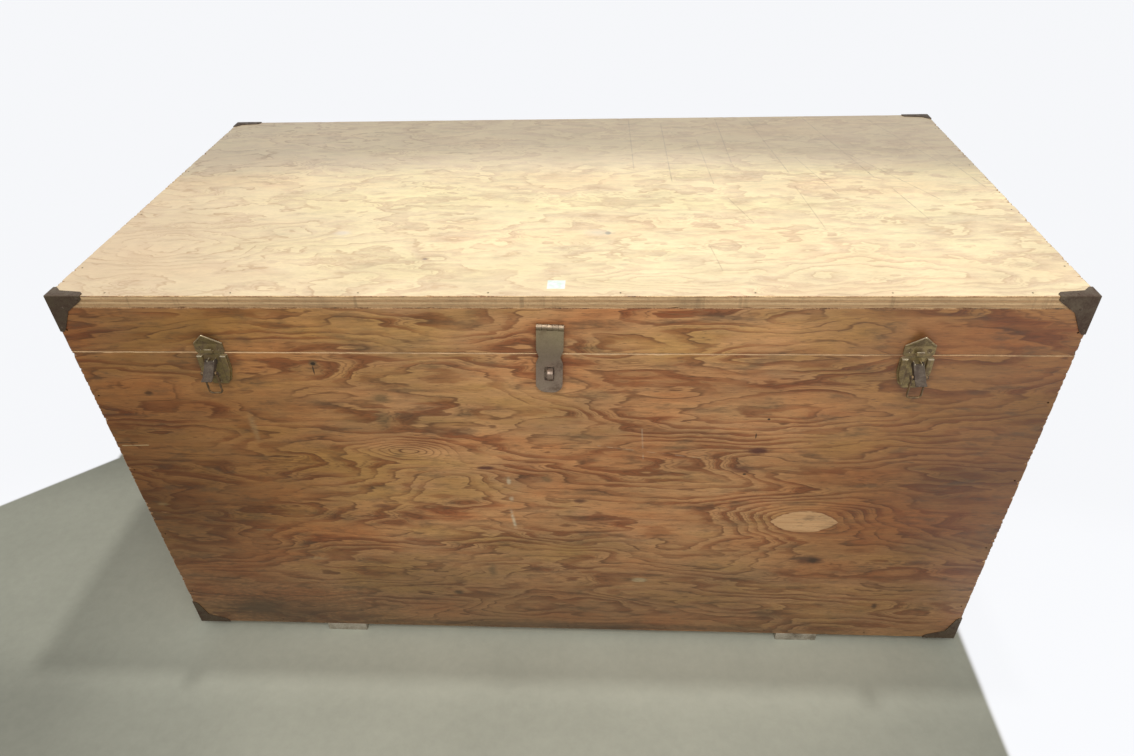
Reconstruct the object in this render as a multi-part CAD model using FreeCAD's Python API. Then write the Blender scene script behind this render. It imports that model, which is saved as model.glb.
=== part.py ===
"""A plywood chuck box: a long camp chest with a shallow lid, two trunk latches and a hasp.

+X runs to the right as one faces the chest, -Y comes out of its front, and +Z is up.
The origin is on the floor, under the middle of everything, latches and hinges included.
Every fitting is drawn as if it sat on a front wall at y = 0, and is then moved to its wall.
"""

import FreeCAD, Part
import math
import os

from FreeCAD import Vector

# Chest
CHEST_WIDTH = 1219.0
CHEST_DEPTH = 610.0
PLY = 16.0
BODY_HEIGHT = 543.5
LID_HEIGHT = 80.2
SEAM_GAP = 0.3
SKID_THICKNESS = 16.0
SKID_WIDTH = 64.0
SKID_INSET = 212.5

# Brads through the plywood, nails through the skids, screws for the fittings
BRAD_RADIUS = 1.1
BRAD_LENGTH = 40.0
BRAD_PITCH = 150.0
BRAD_END_MARGIN = 70.0
SKID_NAIL_RADIUS = 1.6
SKID_NAIL_LENGTH = 30.0
SKID_NAIL_PITCH = 180.0
SKID_NAIL_SINK = 3.0
SCREW_RADIUS = 1.6
SCREW_HEAD_RADIUS = 3.1
SCREW_LENGTH = 13.0
SCREW_SLOT = 0.7
TACK_RADIUS = 0.8
TACK_HEAD_RADIUS = 2.0
TACK_HEAD_HEIGHT = 0.7
TACK_LENGTH = 10.0

# Corner caps
CAP_THICKNESS = 1.2
CAP_FLANGE = 8.5
CAP_LOBE = 20.0
CAP_END_RADIUS = 3.5
CAP_TACK_INSET = 5.0
CAP_WEB_TACK = 0.76
LID_CAP_LEG = 43.5
LID_CAP_DROP = 50.0
LID_CAP_LEG_WIDTH = 7.5
LID_CAP_WEB = 21.0
BASE_CAP_LEG = 48.0
BASE_CAP_DROP = 49.0
BASE_CAP_LEG_WIDTH = 7.0
BASE_CAP_WEB = 17.5

# Clearances shared by the fittings
RUN = 0.05
GAP = 0.3
KNUCKLE_GAP = 0.3

# Back hinges
HINGE_LENGTH = 76.0
HINGE_LEAF = 24.0
HINGE_LEAF_THICKNESS = 2.0
HINGE_BARREL_RADIUS = 4.0
HINGE_PIN_RADIUS = 2.0
HINGE_KNUCKLES = 5
HINGE_INSET = 160.0
HINGE_SCREW_MARGIN = 12.0

# Hasp
HASP_CENTRE = -5.4
HASP_TILT = 3.0
HASP_AXIS_RISE = 40.5
HASP_WIDTH = 33.0
HASP_THICKNESS = 1.6
HASP_BARREL_RADIUS = 3.7
HASP_PIN_RADIUS = 1.75
HASP_KNUCKLES = 5
HASP_LEAF_LENGTH = 36.0
HASP_FLAP_LENGTH = 96.0
HASP_WAIST_DEPTH = 3.3
HASP_WAIST_RISE = 54.0
HASP_WAIST_LENGTH = 20.0
HASP_WAIST_OFFSET = 1.5
HASP_END_RADIUS = 13.0
SLOT_WIDTH = 12.0
SLOT_LENGTH = 21.4
SLOT_CENTRE = 67.4
STAPLE_METAL = 3.0
STAPLE_HALF_WIDTH = 3.6
STAPLE_HEIGHT = 13.0
STAPLE_REACH = 14.5
STAPLE_OFFSET = 1.5
STAPLE_CORNER = 4.5
STAPLE_TOP_CLEARANCE = 2.1
STAPLE_PLATE_WIDTH = 27.0
STAPLE_PLATE_LENGTH = 30.0

# Trunk latches, both alike
LATCH_INSET = 180.0
LATCH_PLATE = 1.4
LATCH_BASE_WIDTH = 40.0
LATCH_BASE_FOOT = 19.0
LATCH_BASE_HIP = 31.0
LATCH_BASE_TOP_DROP = 2.0
LATCH_BASE_LENGTH = 45.0
LATCH_WING_RISE = 4.6
LATCH_WING_GAP = 11.2
LEVER_PIVOT_DROP = 9.5
LEVER_PIVOT_REACH = 7.0
LEVER_RIVET_RADIUS = 1.5
LEVER_METAL = 1.25
LEVER_HALF_WIDTH = 6.4
LEVER_TIP_HALF_WIDTH = 6.7
LEVER_WEB_START = 1.3
LEVER_LENGTH = 27.5
LEVER_CHEEK_LENGTH = 19.0
LEVER_CHEEK_RADIUS = 3.75
LEVER_TIP_LENGTH = 6.0
LEVER_TIP_BEND = 20.0
LEVER_REST_ANGLE = 50.0
EAR_HALF_WIDTH = 2.2
LINK_DISTANCE = 15.0
LINK_PIN_RADIUS = 1.2
LINK_PIN_HEAD_RADIUS = 2.1
LINK_PIN_HEAD = 0.6
BAIL_WIRE = 1.2
BAIL_HALF_WIDTH = 8.3
BAIL_LENGTH = 30.0
BAIL_CORNER = 4.4
BAIL_EYE_RADIUS = 2.6
BAIL_EYE_LENGTH = 2.0
BAIL_CLOSED_LEAN = 7.0
KEEPER_WIDTH = 36.5
KEEPER_FOOT_DROP = 1.2
KEEPER_SHOULDER_RISE = 14.0
KEEPER_PEAK_RISE = 30.0
KEEPER_PEAK_REACH = 8.0
KEEPER_BEAD_RADIUS = 1.3
NOSE_METAL = 1.5
NOSE_LIP = 5.6

# End handles
HANDLE_RISE = 300.0
HANDLE_PLATE_WIDTH = 124.0
HANDLE_PLATE_HEIGHT = 44.0
HANDLE_PLATE_THICKNESS = 2.5
HANDLE_LUG_SPACING = 84.0
HANDLE_LUG_LENGTH = 12.0
HANDLE_LUG_WALL = 3.0
HANDLE_ROD = 4.0
HANDLE_DROP = 44.0
HANDLE_CORNER = 12.0
HANDLE_AXIS_REACH = 10.0

# How far the levers stand out of the front at rest, and the barrels out of the back
FRONT_REACH = (
    LEVER_PIVOT_REACH
    + LEVER_LENGTH * math.sin(math.radians(LEVER_REST_ANGLE))
    + LEVER_CHEEK_RADIUS * math.cos(math.radians(LEVER_REST_ANGLE))
)
HINGE_AXIS_REACH = HINGE_BARREL_RADIUS + GAP
BACK_REACH = HINGE_AXIS_REACH + HINGE_BARREL_RADIUS

# Planes of the chest
FRONT_Y = (FRONT_REACH - BACK_REACH - CHEST_DEPTH) / 2
BACK_Y = FRONT_Y + CHEST_DEPTH
END_X = CHEST_WIDTH / 2
BASE_Z = SKID_THICKNESS
SEAM_Z = BASE_Z + BODY_HEIGHT
LID_Z = SEAM_Z + SEAM_GAP
TOP_Z = LID_Z + LID_HEIGHT
RAIL_TOP_Z = TOP_Z - PLY
HINGE_Z = SEAM_Z + SEAM_GAP / 2
LATCH_X = END_X - LATCH_INSET
SKID_X = END_X - SKID_INSET - SKID_WIDTH / 2
HINGE_X = END_X - HINGE_INSET

X_AXIS = Vector(1, 0, 0)
Y_AXIS = Vector(0, 1, 0)
Z_AXIS = Vector(0, 0, 1)
ORIGIN = Vector(0, 0, 0)
OVERSHOOT = 1.0


# Small drawing helpers


def block(low, high):
    """An upright box between two opposite corners."""
    size = [b - a for a, b in zip(low, high)]
    return Part.makeBox(size[0], size[1], size[2], Vector(*low))


def rod(start, direction, radius, length):
    """A cylinder that starts at a point."""
    return Part.makeCylinder(radius, length, start, direction)


def rod_between(start, end, radius):
    """A cylinder between two points."""
    return rod(start, end - start, radius, (end - start).Length)


def cross_rod(y, z, radius, half_length):
    """A cylinder along X, centred on x = 0."""
    return rod(Vector(-half_length, y, z), X_AXIS, radius, 2 * half_length)


def plate(points, thickness, direction):
    """A flat plate: the outline through the points, pushed along a direction."""
    face = Part.Face(Part.makePolygon(points + [points[0]]))
    return face.extrude(direction * thickness)


def wall_plate(outline, near, far):
    """A plate parallel to the front wall; outline holds (x, z), near and far are heights off the wall."""
    points = [Vector(x, -near, z) for x, z in outline]
    return plate(points, far - near, Vector(0, -1, 0))


def side_plate(outline, half_width):
    """A plate square to the wall, centred on x = 0; outline holds (height off the wall, z)."""
    points = [Vector(-half_width, -reach, z) for reach, z in outline]
    return plate(points, 2 * half_width, X_AXIS)


def single(shape):
    """The one solid that a boolean result holds."""
    return shape.Solids[0] if len(shape.Solids) == 1 else shape


def fuse_all(shapes):
    """One solid out of touching or overlapping shapes."""
    return single(shapes[0].multiFuse(shapes[1:]).removeSplitter())


def cut_all(shape, cutters):
    """The shape with every cutter taken out."""
    return single(shape.cut(cutters)) if cutters else shape


def turned(shape, centre, axis, degrees):
    """A rotated copy."""
    copy = shape.copy()
    copy.rotate(centre, axis, degrees)
    return copy


def moved(shape, offset):
    """A shifted copy."""
    copy = shape.copy()
    copy.translate(offset)
    return copy


def rounded_upright_edges(shape, direction, radius):
    """The shape with its straight edges that run along a direction rounded."""
    edges = []
    for edge in shape.Edges:
        if edge.Curve.TypeId != "Part::GeomLine":
            continue
        run = edge.Vertexes[1].Point - edge.Vertexes[0].Point
        if run.Length > 0 and abs(abs(run.dot(direction)) - run.Length) < 1e-6:
            edges.append(edge)
    return shape.makeFillet(radius, edges)


def bent_rod(points, bend_radius, rod_radius):
    """A round rod along straight runs that are joined by tangent arcs."""
    edges = []
    start = points[0]
    for corner, after in zip(points[1:-1], points[2:]):
        into = (corner - start).normalize()
        out_of = (after - corner).normalize()
        half_turn = into.getAngle(out_of) / 2
        trim = bend_radius * math.tan(half_turn)
        arc_start = corner - into * trim
        arc_end = corner + out_of * trim
        inward = (out_of - into).normalize()
        centre = corner + inward * (bend_radius / math.cos(half_turn))
        middle = centre - inward * bend_radius
        edges.append(Part.LineSegment(start, arc_start).toShape())
        edges.append(Part.Arc(arc_start, middle, arc_end).toShape())
        start = arc_end
    edges.append(Part.LineSegment(start, points[-1]).toShape())
    path = Part.Wire(edges)
    heading = points[1] - points[0]
    profile = Part.Wire(Part.makeCircle(rod_radius, points[0], heading))
    return path.makePipeShell([profile], True, True)


# Fasteners


def screw(point, inward):
    """A countersunk slotted screw whose head is flush at the point."""
    slope = SCREW_HEAD_RADIUS - SCREW_RADIUS
    head = Part.makeCone(SCREW_HEAD_RADIUS, SCREW_RADIUS, slope, point, inward)
    shank = rod(point, inward, SCREW_RADIUS, SCREW_LENGTH)
    return fuse_all([head, shank])


def slotted(solid, point, inward):
    """A screw with a driver slot across its head."""
    across = Z_AXIS if abs(inward.z) < 0.5 else X_AXIS
    side = inward.cross(across)
    corner = point - across * SCREW_HEAD_RADIUS - side * (SCREW_SLOT / 2)
    outline = [
        corner,
        corner + across * 2 * SCREW_HEAD_RADIUS,
        corner + across * 2 * SCREW_HEAD_RADIUS + side * SCREW_SLOT,
        corner + side * SCREW_SLOT,
    ]
    return single(solid.cut(plate(outline, SCREW_SLOT, inward)))


def tack(point, inward):
    """A small tack with a domed head that stands on the point."""
    head_sphere = (TACK_HEAD_RADIUS**2 + TACK_HEAD_HEIGHT**2) / (2 * TACK_HEAD_HEIGHT)
    ball = Part.makeSphere(head_sphere, point + inward * (head_sphere - TACK_HEAD_HEIGHT))
    room = rod(point - inward * TACK_HEAD_HEIGHT, inward, TACK_HEAD_RADIUS, TACK_HEAD_HEIGHT)
    shank = rod(point, inward, TACK_RADIUS, TACK_LENGTH)
    return fuse_all([single(ball.common(room)), shank])


def brad(point, inward):
    """A headless brad driven flush at the point."""
    return rod(point, inward, BRAD_RADIUS, BRAD_LENGTH)


def spread(half_span, pitch):
    """Evenly spaced places between -half_span and half_span, about a pitch apart."""
    bays = max(1, round(2 * half_span / pitch))
    return [-half_span + 2 * half_span * i / bays for i in range(bays + 1)]


def body_brads():
    """Brads through the front and back into the ends and bottom, and through the ends into the bottom."""
    brads = []
    bottom_mid = BASE_Z + PLY / 2
    column_mid = (SEAM_Z + bottom_mid) / 2
    column_half = (SEAM_Z - bottom_mid) / 2 - BRAD_END_MARGIN
    row_half = END_X - 2 * BRAD_END_MARGIN
    depth_mid = (FRONT_Y + BACK_Y) / 2
    for face_y, inward in ((FRONT_Y, Y_AXIS), (BACK_Y, -Y_AXIS)):
        for side in (-1, 1):
            for rise in spread(column_half, BRAD_PITCH):
                brads.append(brad(Vector(side * (END_X - PLY / 2), face_y, column_mid + rise), inward))
        for x in spread(row_half, BRAD_PITCH):
            brads.append(brad(Vector(x, face_y, bottom_mid), inward))
    for side in (-1, 1):
        for y in spread(CHEST_DEPTH / 2 - 2 * BRAD_END_MARGIN, BRAD_PITCH):
            brads.append(brad(Vector(side * END_X, depth_mid + y, bottom_mid), X_AXIS * -side))
    return brads


def lid_brads():
    """Brads down through the top into the rails, and through the long rails into the end rails."""
    brads = []
    depth_mid = (FRONT_Y + BACK_Y) / 2
    rail_mid = (LID_Z + RAIL_TOP_Z) / 2
    for x in spread(END_X - BRAD_END_MARGIN, BRAD_PITCH):
        for y in (FRONT_Y + PLY / 2, BACK_Y - PLY / 2):
            brads.append(brad(Vector(x, y, TOP_Z), -Z_AXIS))
    for side in (-1, 1):
        for y in spread(CHEST_DEPTH / 2 - BRAD_END_MARGIN, BRAD_PITCH):
            brads.append(brad(Vector(side * (END_X - PLY / 2), depth_mid + y, TOP_Z), -Z_AXIS))
        for face_y, inward in ((FRONT_Y, Y_AXIS), (BACK_Y, -Y_AXIS)):
            brads.append(brad(Vector(side * (END_X - PLY / 2), face_y, rail_mid), inward))
    return brads


def skid_nails():
    """Nails up through the skids into the bottom panel, sunk a little so that they clear the floor."""
    nails = []
    depth_mid = (FRONT_Y + BACK_Y) / 2
    length = min(SKID_NAIL_LENGTH, SKID_THICKNESS + PLY - SKID_NAIL_SINK)
    for side in (-1, 1):
        for y in spread(CHEST_DEPTH / 2 - BRAD_END_MARGIN, SKID_NAIL_PITCH):
            foot = Vector(side * SKID_X, depth_mid + y, SKID_NAIL_SINK)
            nails.append(rod(foot, Z_AXIS, SKID_NAIL_RADIUS, length))
    return nails


def skid_nail_bores():
    """The nails' own holes, open down to the floor side."""
    bores = []
    for nail in skid_nails():
        box = nail.BoundBox
        foot = Vector(box.Center.x, box.Center.y, 0)
        bores.append(rod(foot, Z_AXIS, SKID_NAIL_RADIUS, box.ZMax))
    return bores


# Corner caps, drawn at a front left top corner that has its point at the origin


def l_outline(leg_a, width_a, leg_b, width_b, web):
    """An L with slanted inner sides: (a, b) points of a cap's face, over its own outer edges too."""
    edge = -(CAP_THICKNESS + OVERSHOOT)
    turn = CAP_END_RADIUS
    return [
        (edge, edge),
        (leg_a, edge),
        (leg_a, width_a - turn),
        (leg_a - turn, width_a),
        (web, min(web, width_b + (leg_b - width_b) / 2)),
        (width_b, leg_b - turn),
        (width_b - turn, leg_b),
        (edge, leg_b),
    ]


def corner_cap(leg, drop, leg_width, web):
    """A stamped cap: an L on the front, and a narrow flange and lobe over the top and the end."""
    wood = max(leg, drop) + CAP_LOBE
    shell = block((-CAP_THICKNESS, -CAP_THICKNESS, -wood), (wood, wood, CAP_THICKNESS))
    outer = [e for e in shell.Edges if min(edge_distance(e), CAP_THICKNESS) < CAP_THICKNESS / 2]
    shell = shell.makeFillet(CAP_THICKNESS, outer)
    shell = shell.cut(block((0, 0, -wood - OVERSHOOT), (wood + OVERSHOOT, wood + OVERSHOOT, 0)))
    front = l_outline(leg, leg_width, drop, leg_width, web)
    top_flange = l_outline(leg, CAP_FLANGE, CAP_LOBE, leg_width, CAP_FLANGE + CAP_END_RADIUS)
    end_flange = l_outline(drop, CAP_FLANGE, CAP_LOBE, leg_width, CAP_FLANGE + CAP_END_RADIUS)
    depth = CAP_THICKNESS + OVERSHOOT
    front_mask = plate([Vector(a, 0, -b) for a, b in front], depth, -Y_AXIS)
    top_mask = plate([Vector(a, b, 0) for a, b in top_flange], depth, Z_AXIS)
    end_mask = plate([Vector(0, b, -a) for a, b in end_flange], depth, -X_AXIS)
    return single(shell.common(fuse_all([front_mask, top_mask, end_mask])))


def edge_distance(edge):
    """How far an edge of the cap's block lies from the three edges that meet at its outer corner."""
    corner = Vector(-CAP_THICKNESS, -CAP_THICKNESS, CAP_THICKNESS)
    return min((vertex.Point - corner).Length for vertex in edge.Vertexes)


def cap_tacks(leg, drop, leg_width, web):
    """Tacks of one cap: three in the front, one in each flange."""
    out = -CAP_THICKNESS
    inset = CAP_TACK_INSET
    web_tack = web * CAP_WEB_TACK
    return [
        tack(Vector(leg - inset, out, -leg_width / 2), Y_AXIS),
        tack(Vector(leg_width / 2, out, inset - drop), Y_AXIS),
        tack(Vector(web_tack, out, -web_tack), Y_AXIS),
        tack(Vector(leg / 2, CAP_FLANGE / 2, -out), -Z_AXIS),
        tack(Vector(out, CAP_FLANGE / 2, -drop / 2), X_AXIS),
    ]


def at_corner(shape, side_x, side_y, side_z, z):
    """A copy of a front left top piece, mirrored and moved to one of the eight corners."""
    copy = shape.copy()
    if side_x > 0:
        copy = copy.mirror(ORIGIN, X_AXIS)
    if side_y > 0:
        copy = copy.mirror(ORIGIN, Y_AXIS)
    if side_z < 0:
        copy = copy.mirror(ORIGIN, Z_AXIS)
    return moved(copy, Vector(side_x * END_X, BACK_Y if side_y > 0 else FRONT_Y, z))


def corner_set(prefix, leg, drop, leg_width, web, side_z, z):
    """Four caps by name, and all their tacks."""
    caps = {}
    tacks = []
    cap = corner_cap(leg, drop, leg_width, web)
    pins = cap_tacks(leg, drop, leg_width, web)
    cap = cut_all(cap, pins)
    for depth_name, side_y in (("front", -1), ("back", 1)):
        for name, side_x in (("left", -1), ("right", 1)):
            caps[f"{prefix}_{depth_name}_{name}"] = at_corner(cap, side_x, side_y, side_z, z)
            tacks += [at_corner(pin, side_x, side_y, side_z, z) for pin in pins]
    return caps, tacks


# Knuckled leaves, used by the back hinges and by the hasp


def knuckle_spans(length, count, first):
    """Start and end of every second knuckle along a barrel centred on x = 0."""
    pitch = length / count
    spans = []
    for i in range(first, count, 2):
        start = -length / 2 + i * pitch + (KNUCKLE_GAP / 2 if i > 0 else 0)
        end = -length / 2 + (i + 1) * pitch - (KNUCKLE_GAP / 2 if i < count - 1 else 0)
        spans.append((start, end))
    return spans


def knuckled(leaf, tongue_side, axis_reach, radius, pin_radius, near, far, spans):
    """A leaf joined to its knuckles: tongue_side is -1 for a leaf below its barrel and 1 for one above."""
    parts = [leaf]
    root = tongue_side * (radius + KNUCKLE_GAP + OVERSHOOT)
    for start, end in spans:
        parts.append(rod(Vector(start, -axis_reach, 0), X_AXIS, radius, end - start))
        low, high = sorted((tongue_side * radius / 4, root))
        parts.append(block((start, -far, low), (end, -near, high)))
    bore = cross_rod(-axis_reach, 0, pin_radius, HINGE_LENGTH)
    return single(fuse_all(parts).cut(bore))


def hinge_leaf(side, first, bore_radius):
    """A back hinge's leaf: side is -1 for the body's leaf and 1 for the lid's."""
    edge = side * (HINGE_BARREL_RADIUS + KNUCKLE_GAP)
    low, high = sorted((edge, side * HINGE_LEAF))
    half = HINGE_LENGTH / 2
    leaf = block((-half, -HINGE_LEAF_THICKNESS, low), (half, 0, high))
    spans = knuckle_spans(HINGE_LENGTH, HINGE_KNUCKLES, first)
    return knuckled(
        leaf, side, HINGE_AXIS_REACH, HINGE_BARREL_RADIUS, bore_radius, 0, HINGE_LEAF_THICKNESS, spans
    )


def hinge_screw_points(side):
    """Places of a hinge leaf's screw heads: three, the middle one staggered."""
    mid = side * (HINGE_BARREL_RADIUS + HINGE_LEAF) / 2
    stagger = side * SCREW_HEAD_RADIUS
    run = HINGE_LENGTH / 2 - HINGE_SCREW_MARGIN
    heights = ((-run, mid - stagger), (0, mid + stagger), (run, mid - stagger))
    return [Vector(x, -HINGE_LEAF_THICKNESS, z) for x, z in heights]


def on_back_wall(shape, x):
    """A front wall drawing of a hinge, turned to face the back."""
    return moved(turned(shape, ORIGIN, Z_AXIS, 180), Vector(x, BACK_Y, HINGE_Z))


# Hasp, drawn with its pin through the origin's height


HASP_AXIS_REACH = HASP_BARREL_RADIUS + GAP
HASP_FLAP_NEAR = HASP_AXIS_REACH


def hasp_leaf():
    """The fixed leaf on the lid's rail, hidden under the flap."""
    half = HASP_WIDTH / 2 - OVERSHOOT
    top = -(HASP_BARREL_RADIUS + KNUCKLE_GAP)
    leaf = block((-half, -HASP_THICKNESS, -HASP_LEAF_LENGTH), (half, 0, top))
    spans = knuckle_spans(HASP_WIDTH, HASP_KNUCKLES, 0)
    return knuckled(
        leaf, -1, HASP_AXIS_REACH, HASP_BARREL_RADIUS, HASP_PIN_RADIUS, 0, HASP_THICKNESS, spans
    )


def hasp_flap():
    """The flap: a long plate with a waist, a round end and a slot over the staple."""
    half = HASP_WIDTH / 2
    waist_half = half - HASP_WAIST_DEPTH
    end = -HASP_FLAP_LENGTH
    waist_mid = -(HASP_AXIS_RISE + SEAM_GAP + HASP_WAIST_OFFSET)
    waist_top = waist_mid + HASP_WAIST_LENGTH / 2
    waist_low = waist_mid - HASP_WAIST_LENGTH / 2
    top = -(HASP_BARREL_RADIUS + KNUCKLE_GAP)
    right = [(half, top), (half, waist_top), (waist_half, waist_mid), (half, waist_low), (half, end)]
    left = [(-x, z) for x, z in reversed(right)]
    flap = wall_plate(right + left, HASP_FLAP_NEAR, HASP_FLAP_NEAR + HASP_THICKNESS)
    corners = [
        edge
        for edge in flap.Edges
        if all(abs(vertex.Point.z - end) < 1e-6 for vertex in edge.Vertexes)
        and abs(edge.Vertexes[0].Point.y - edge.Vertexes[1].Point.y) > HASP_THICKNESS / 2
    ]
    flap = flap.makeFillet(HASP_END_RADIUS, corners)
    slot = block(
        (-SLOT_WIDTH / 2, -HASP_FLAP_NEAR - HASP_THICKNESS - OVERSHOOT, -SLOT_CENTRE - SLOT_LENGTH / 2),
        (SLOT_WIDTH / 2, -HASP_FLAP_NEAR + OVERSHOOT, -SLOT_CENTRE + SLOT_LENGTH / 2),
    )
    flap = single(flap.cut(rounded_upright_edges(slot, Y_AXIS, SLOT_WIDTH / 5)))
    spans = knuckle_spans(HASP_WIDTH, HASP_KNUCKLES, 1)
    return knuckled(
        flap,
        -1,
        HASP_AXIS_REACH,
        HASP_BARREL_RADIUS,
        HASP_PIN_RADIUS + RUN,
        HASP_FLAP_NEAR,
        HASP_FLAP_NEAR + HASP_THICKNESS,
        spans,
    )


def hasp_screw_points():
    """Places of the hasp leaf's four screw heads."""
    x = HASP_WIDTH / 2 - 2 * SCREW_HEAD_RADIUS
    high = -(HASP_BARREL_RADIUS + 2 * SCREW_HEAD_RADIUS)
    low = -HASP_LEAF_LENGTH + 2 * SCREW_HEAD_RADIUS
    return [Vector(side * x, -HASP_THICKNESS, z) for side in (-1, 1) for z in (high, low)]


def in_hasp_place(shape):
    """A hasp drawing, tilted as it is mounted and moved to the lid's rail."""
    return moved(turned(shape, ORIGIN, Y_AXIS, HASP_TILT), hasp_pin_centre())


def hasp_pin_centre():
    """The point on the front wall behind the middle of the hasp's pin."""
    return Vector(HASP_CENTRE, FRONT_Y, LID_Z + HASP_AXIS_RISE)


def slot_centre():
    """The point on the front wall behind the middle of the flap's slot."""
    tilt = math.radians(HASP_TILT)
    return hasp_pin_centre() + Vector(-SLOT_CENTRE * math.sin(tilt), 0, -SLOT_CENTRE * math.cos(tilt))


def staple_centre():
    """The point on the front wall behind the middle of the staple."""
    top = slot_centre().z + SLOT_LENGTH / 2 - STAPLE_TOP_CLEARANCE
    return Vector(slot_centre().x + STAPLE_OFFSET, FRONT_Y, top - STAPLE_HEIGHT / 2)


def staple_loop():
    """The broad bent strap that stands out through the slot, its legs through the plate into the wood."""
    half = STAPLE_HEIGHT / 2
    outer = staple_tongue(half, STAPLE_REACH, STAPLE_CORNER)
    inner = staple_tongue(half - STAPLE_METAL, STAPLE_REACH - STAPLE_METAL, STAPLE_CORNER - STAPLE_METAL)
    strap = single(outer.cut(inner))
    front = [e for e in strap.Edges if e.BoundBox.XLength < 1e-6 and e.BoundBox.YMin < -STAPLE_REACH / 2]
    return strap.makeFillet(STAPLE_METAL * 0.25, front)


def staple_tongue(half, reach, corner):
    """A bar from the wall outward, as wide as the strap, with its two outer corners rounded."""
    bar = block((-STAPLE_HALF_WIDTH, -reach, -half), (STAPLE_HALF_WIDTH, PLY / 2, half))
    outer = [e for e in bar.Edges if all(abs(v.Point.y + reach) < 1e-6 for v in e.Vertexes)]
    across = [e for e in outer if e.BoundBox.XLength > STAPLE_HALF_WIDTH]
    return bar.makeFillet(corner, across)


def staple_plate():
    """The plate behind the flap that carries the staple."""
    half_w = STAPLE_PLATE_WIDTH / 2
    half_l = STAPLE_PLATE_LENGTH / 2
    flat = block((-half_w, -HASP_THICKNESS, -half_l), (half_w, 0, half_l))
    return rounded_upright_edges(flat, Y_AXIS, CAP_END_RADIUS)


def staple_screw_points():
    """Places of the staple plate's two screw heads."""
    x = STAPLE_PLATE_WIDTH / 2 - 1.5 * SCREW_HEAD_RADIUS
    return [Vector(side * x, -HASP_THICKNESS, 0) for side in (-1, 1)]


# Trunk latch, drawn about its own middle with the seam at z = 0 and the lever hanging closed


LEVER_PIVOT = Vector(0, -LEVER_PIVOT_REACH, -LEVER_PIVOT_DROP)
LINK_CLOSED = LEVER_PIVOT + Vector(0, 0, -LINK_DISTANCE)
LEVER_CHEEK_INNER = LEVER_HALF_WIDTH - LEVER_METAL
EAR_OUTER = LEVER_CHEEK_INNER - GAP
EAR_INNER = EAR_OUTER - LEVER_METAL
BAIL_INNER = BAIL_HALF_WIDTH - BAIL_WIRE
BAIL_OUTER = BAIL_HALF_WIDTH + BAIL_WIRE
NOSE_HALF_WIDTH = BAIL_HALF_WIDTH - BAIL_CORNER + BAIL_WIRE / 2


def swung(shape, degrees):
    """A latch drawing turned outward about the lever's rivet."""
    return turned(shape, LEVER_PIVOT, -X_AXIS, degrees)


def link_at_rest():
    """Where the link pin's axis is with the lever at its rest angle."""
    angle = math.radians(LEVER_REST_ANGLE)
    out = Vector(0, -math.sin(angle), -math.cos(angle))
    return LEVER_PIVOT + out * LINK_DISTANCE


def latch_base():
    """The shield with its two raised wings and the two ears that hold the rivet."""
    border = shield_border()
    mirrored = [(-x, z) for x, z in reversed(border)]
    shield = wall_plate(border + mirrored, 0, LATCH_PLATE)
    shield = rounded_upright_edges(shield, Y_AXIS, CAP_END_RADIUS)
    parts = [shield]
    for side in (-1, 1):
        wing = wing_block(side)
        parts.append(wing)
        near, far = sorted((side * EAR_INNER, side * EAR_OUTER))
        parts.append(
            block(
                (near, -LEVER_PIVOT_REACH, -LEVER_PIVOT_DROP - EAR_HALF_WIDTH),
                (far, 0, -LEVER_PIVOT_DROP + EAR_HALF_WIDTH),
            )
        )
        parts.append(rod(Vector(near, LEVER_PIVOT.y, LEVER_PIVOT.z), X_AXIS, EAR_HALF_WIDTH, far - near))
    return single(fuse_all(parts).cut(lever_rivet()))


def shield_border():
    """The outer border of the latch base, right half, from the top down."""
    half = LATCH_BASE_WIDTH / 2
    hip = LATCH_BASE_HIP / 2
    foot = LATCH_BASE_FOOT / 2
    top = -LATCH_BASE_TOP_DROP
    waist = top - LATCH_BASE_LENGTH * 0.5
    bend = top - LATCH_BASE_LENGTH * 0.84
    return [(half, top), (half, waist), (hip, bend), (foot, top - LATCH_BASE_LENGTH)]


def wing_block(side):
    """One raised wing of the latch base, rounded along its outer rim."""
    margin = LATCH_PLATE
    (half, top), (_, waist), (hip, bend), (_, low) = shield_border()
    outline = [
        (side * LATCH_WING_GAP, top - margin),
        (side * (half - margin), top - margin),
        (side * (half - margin), waist),
        (side * (hip - margin), bend),
        (side * LATCH_WING_GAP, low + margin * 3),
    ]
    wing = wall_plate(outline, 0, LATCH_WING_RISE)
    rim = [e for e in wing.Edges if all(abs(v.Point.y + LATCH_WING_RISE) < 1e-6 for v in e.Vertexes)]
    return wing.makeFillet((LATCH_WING_RISE - LATCH_PLATE) * 0.35, rim)


def lever_rivet():
    """The rivet that the lever turns on."""
    return cross_rod(LEVER_PIVOT.y, LEVER_PIVOT.z, LEVER_RIVET_RADIUS, LEVER_HALF_WIDTH)


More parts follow.
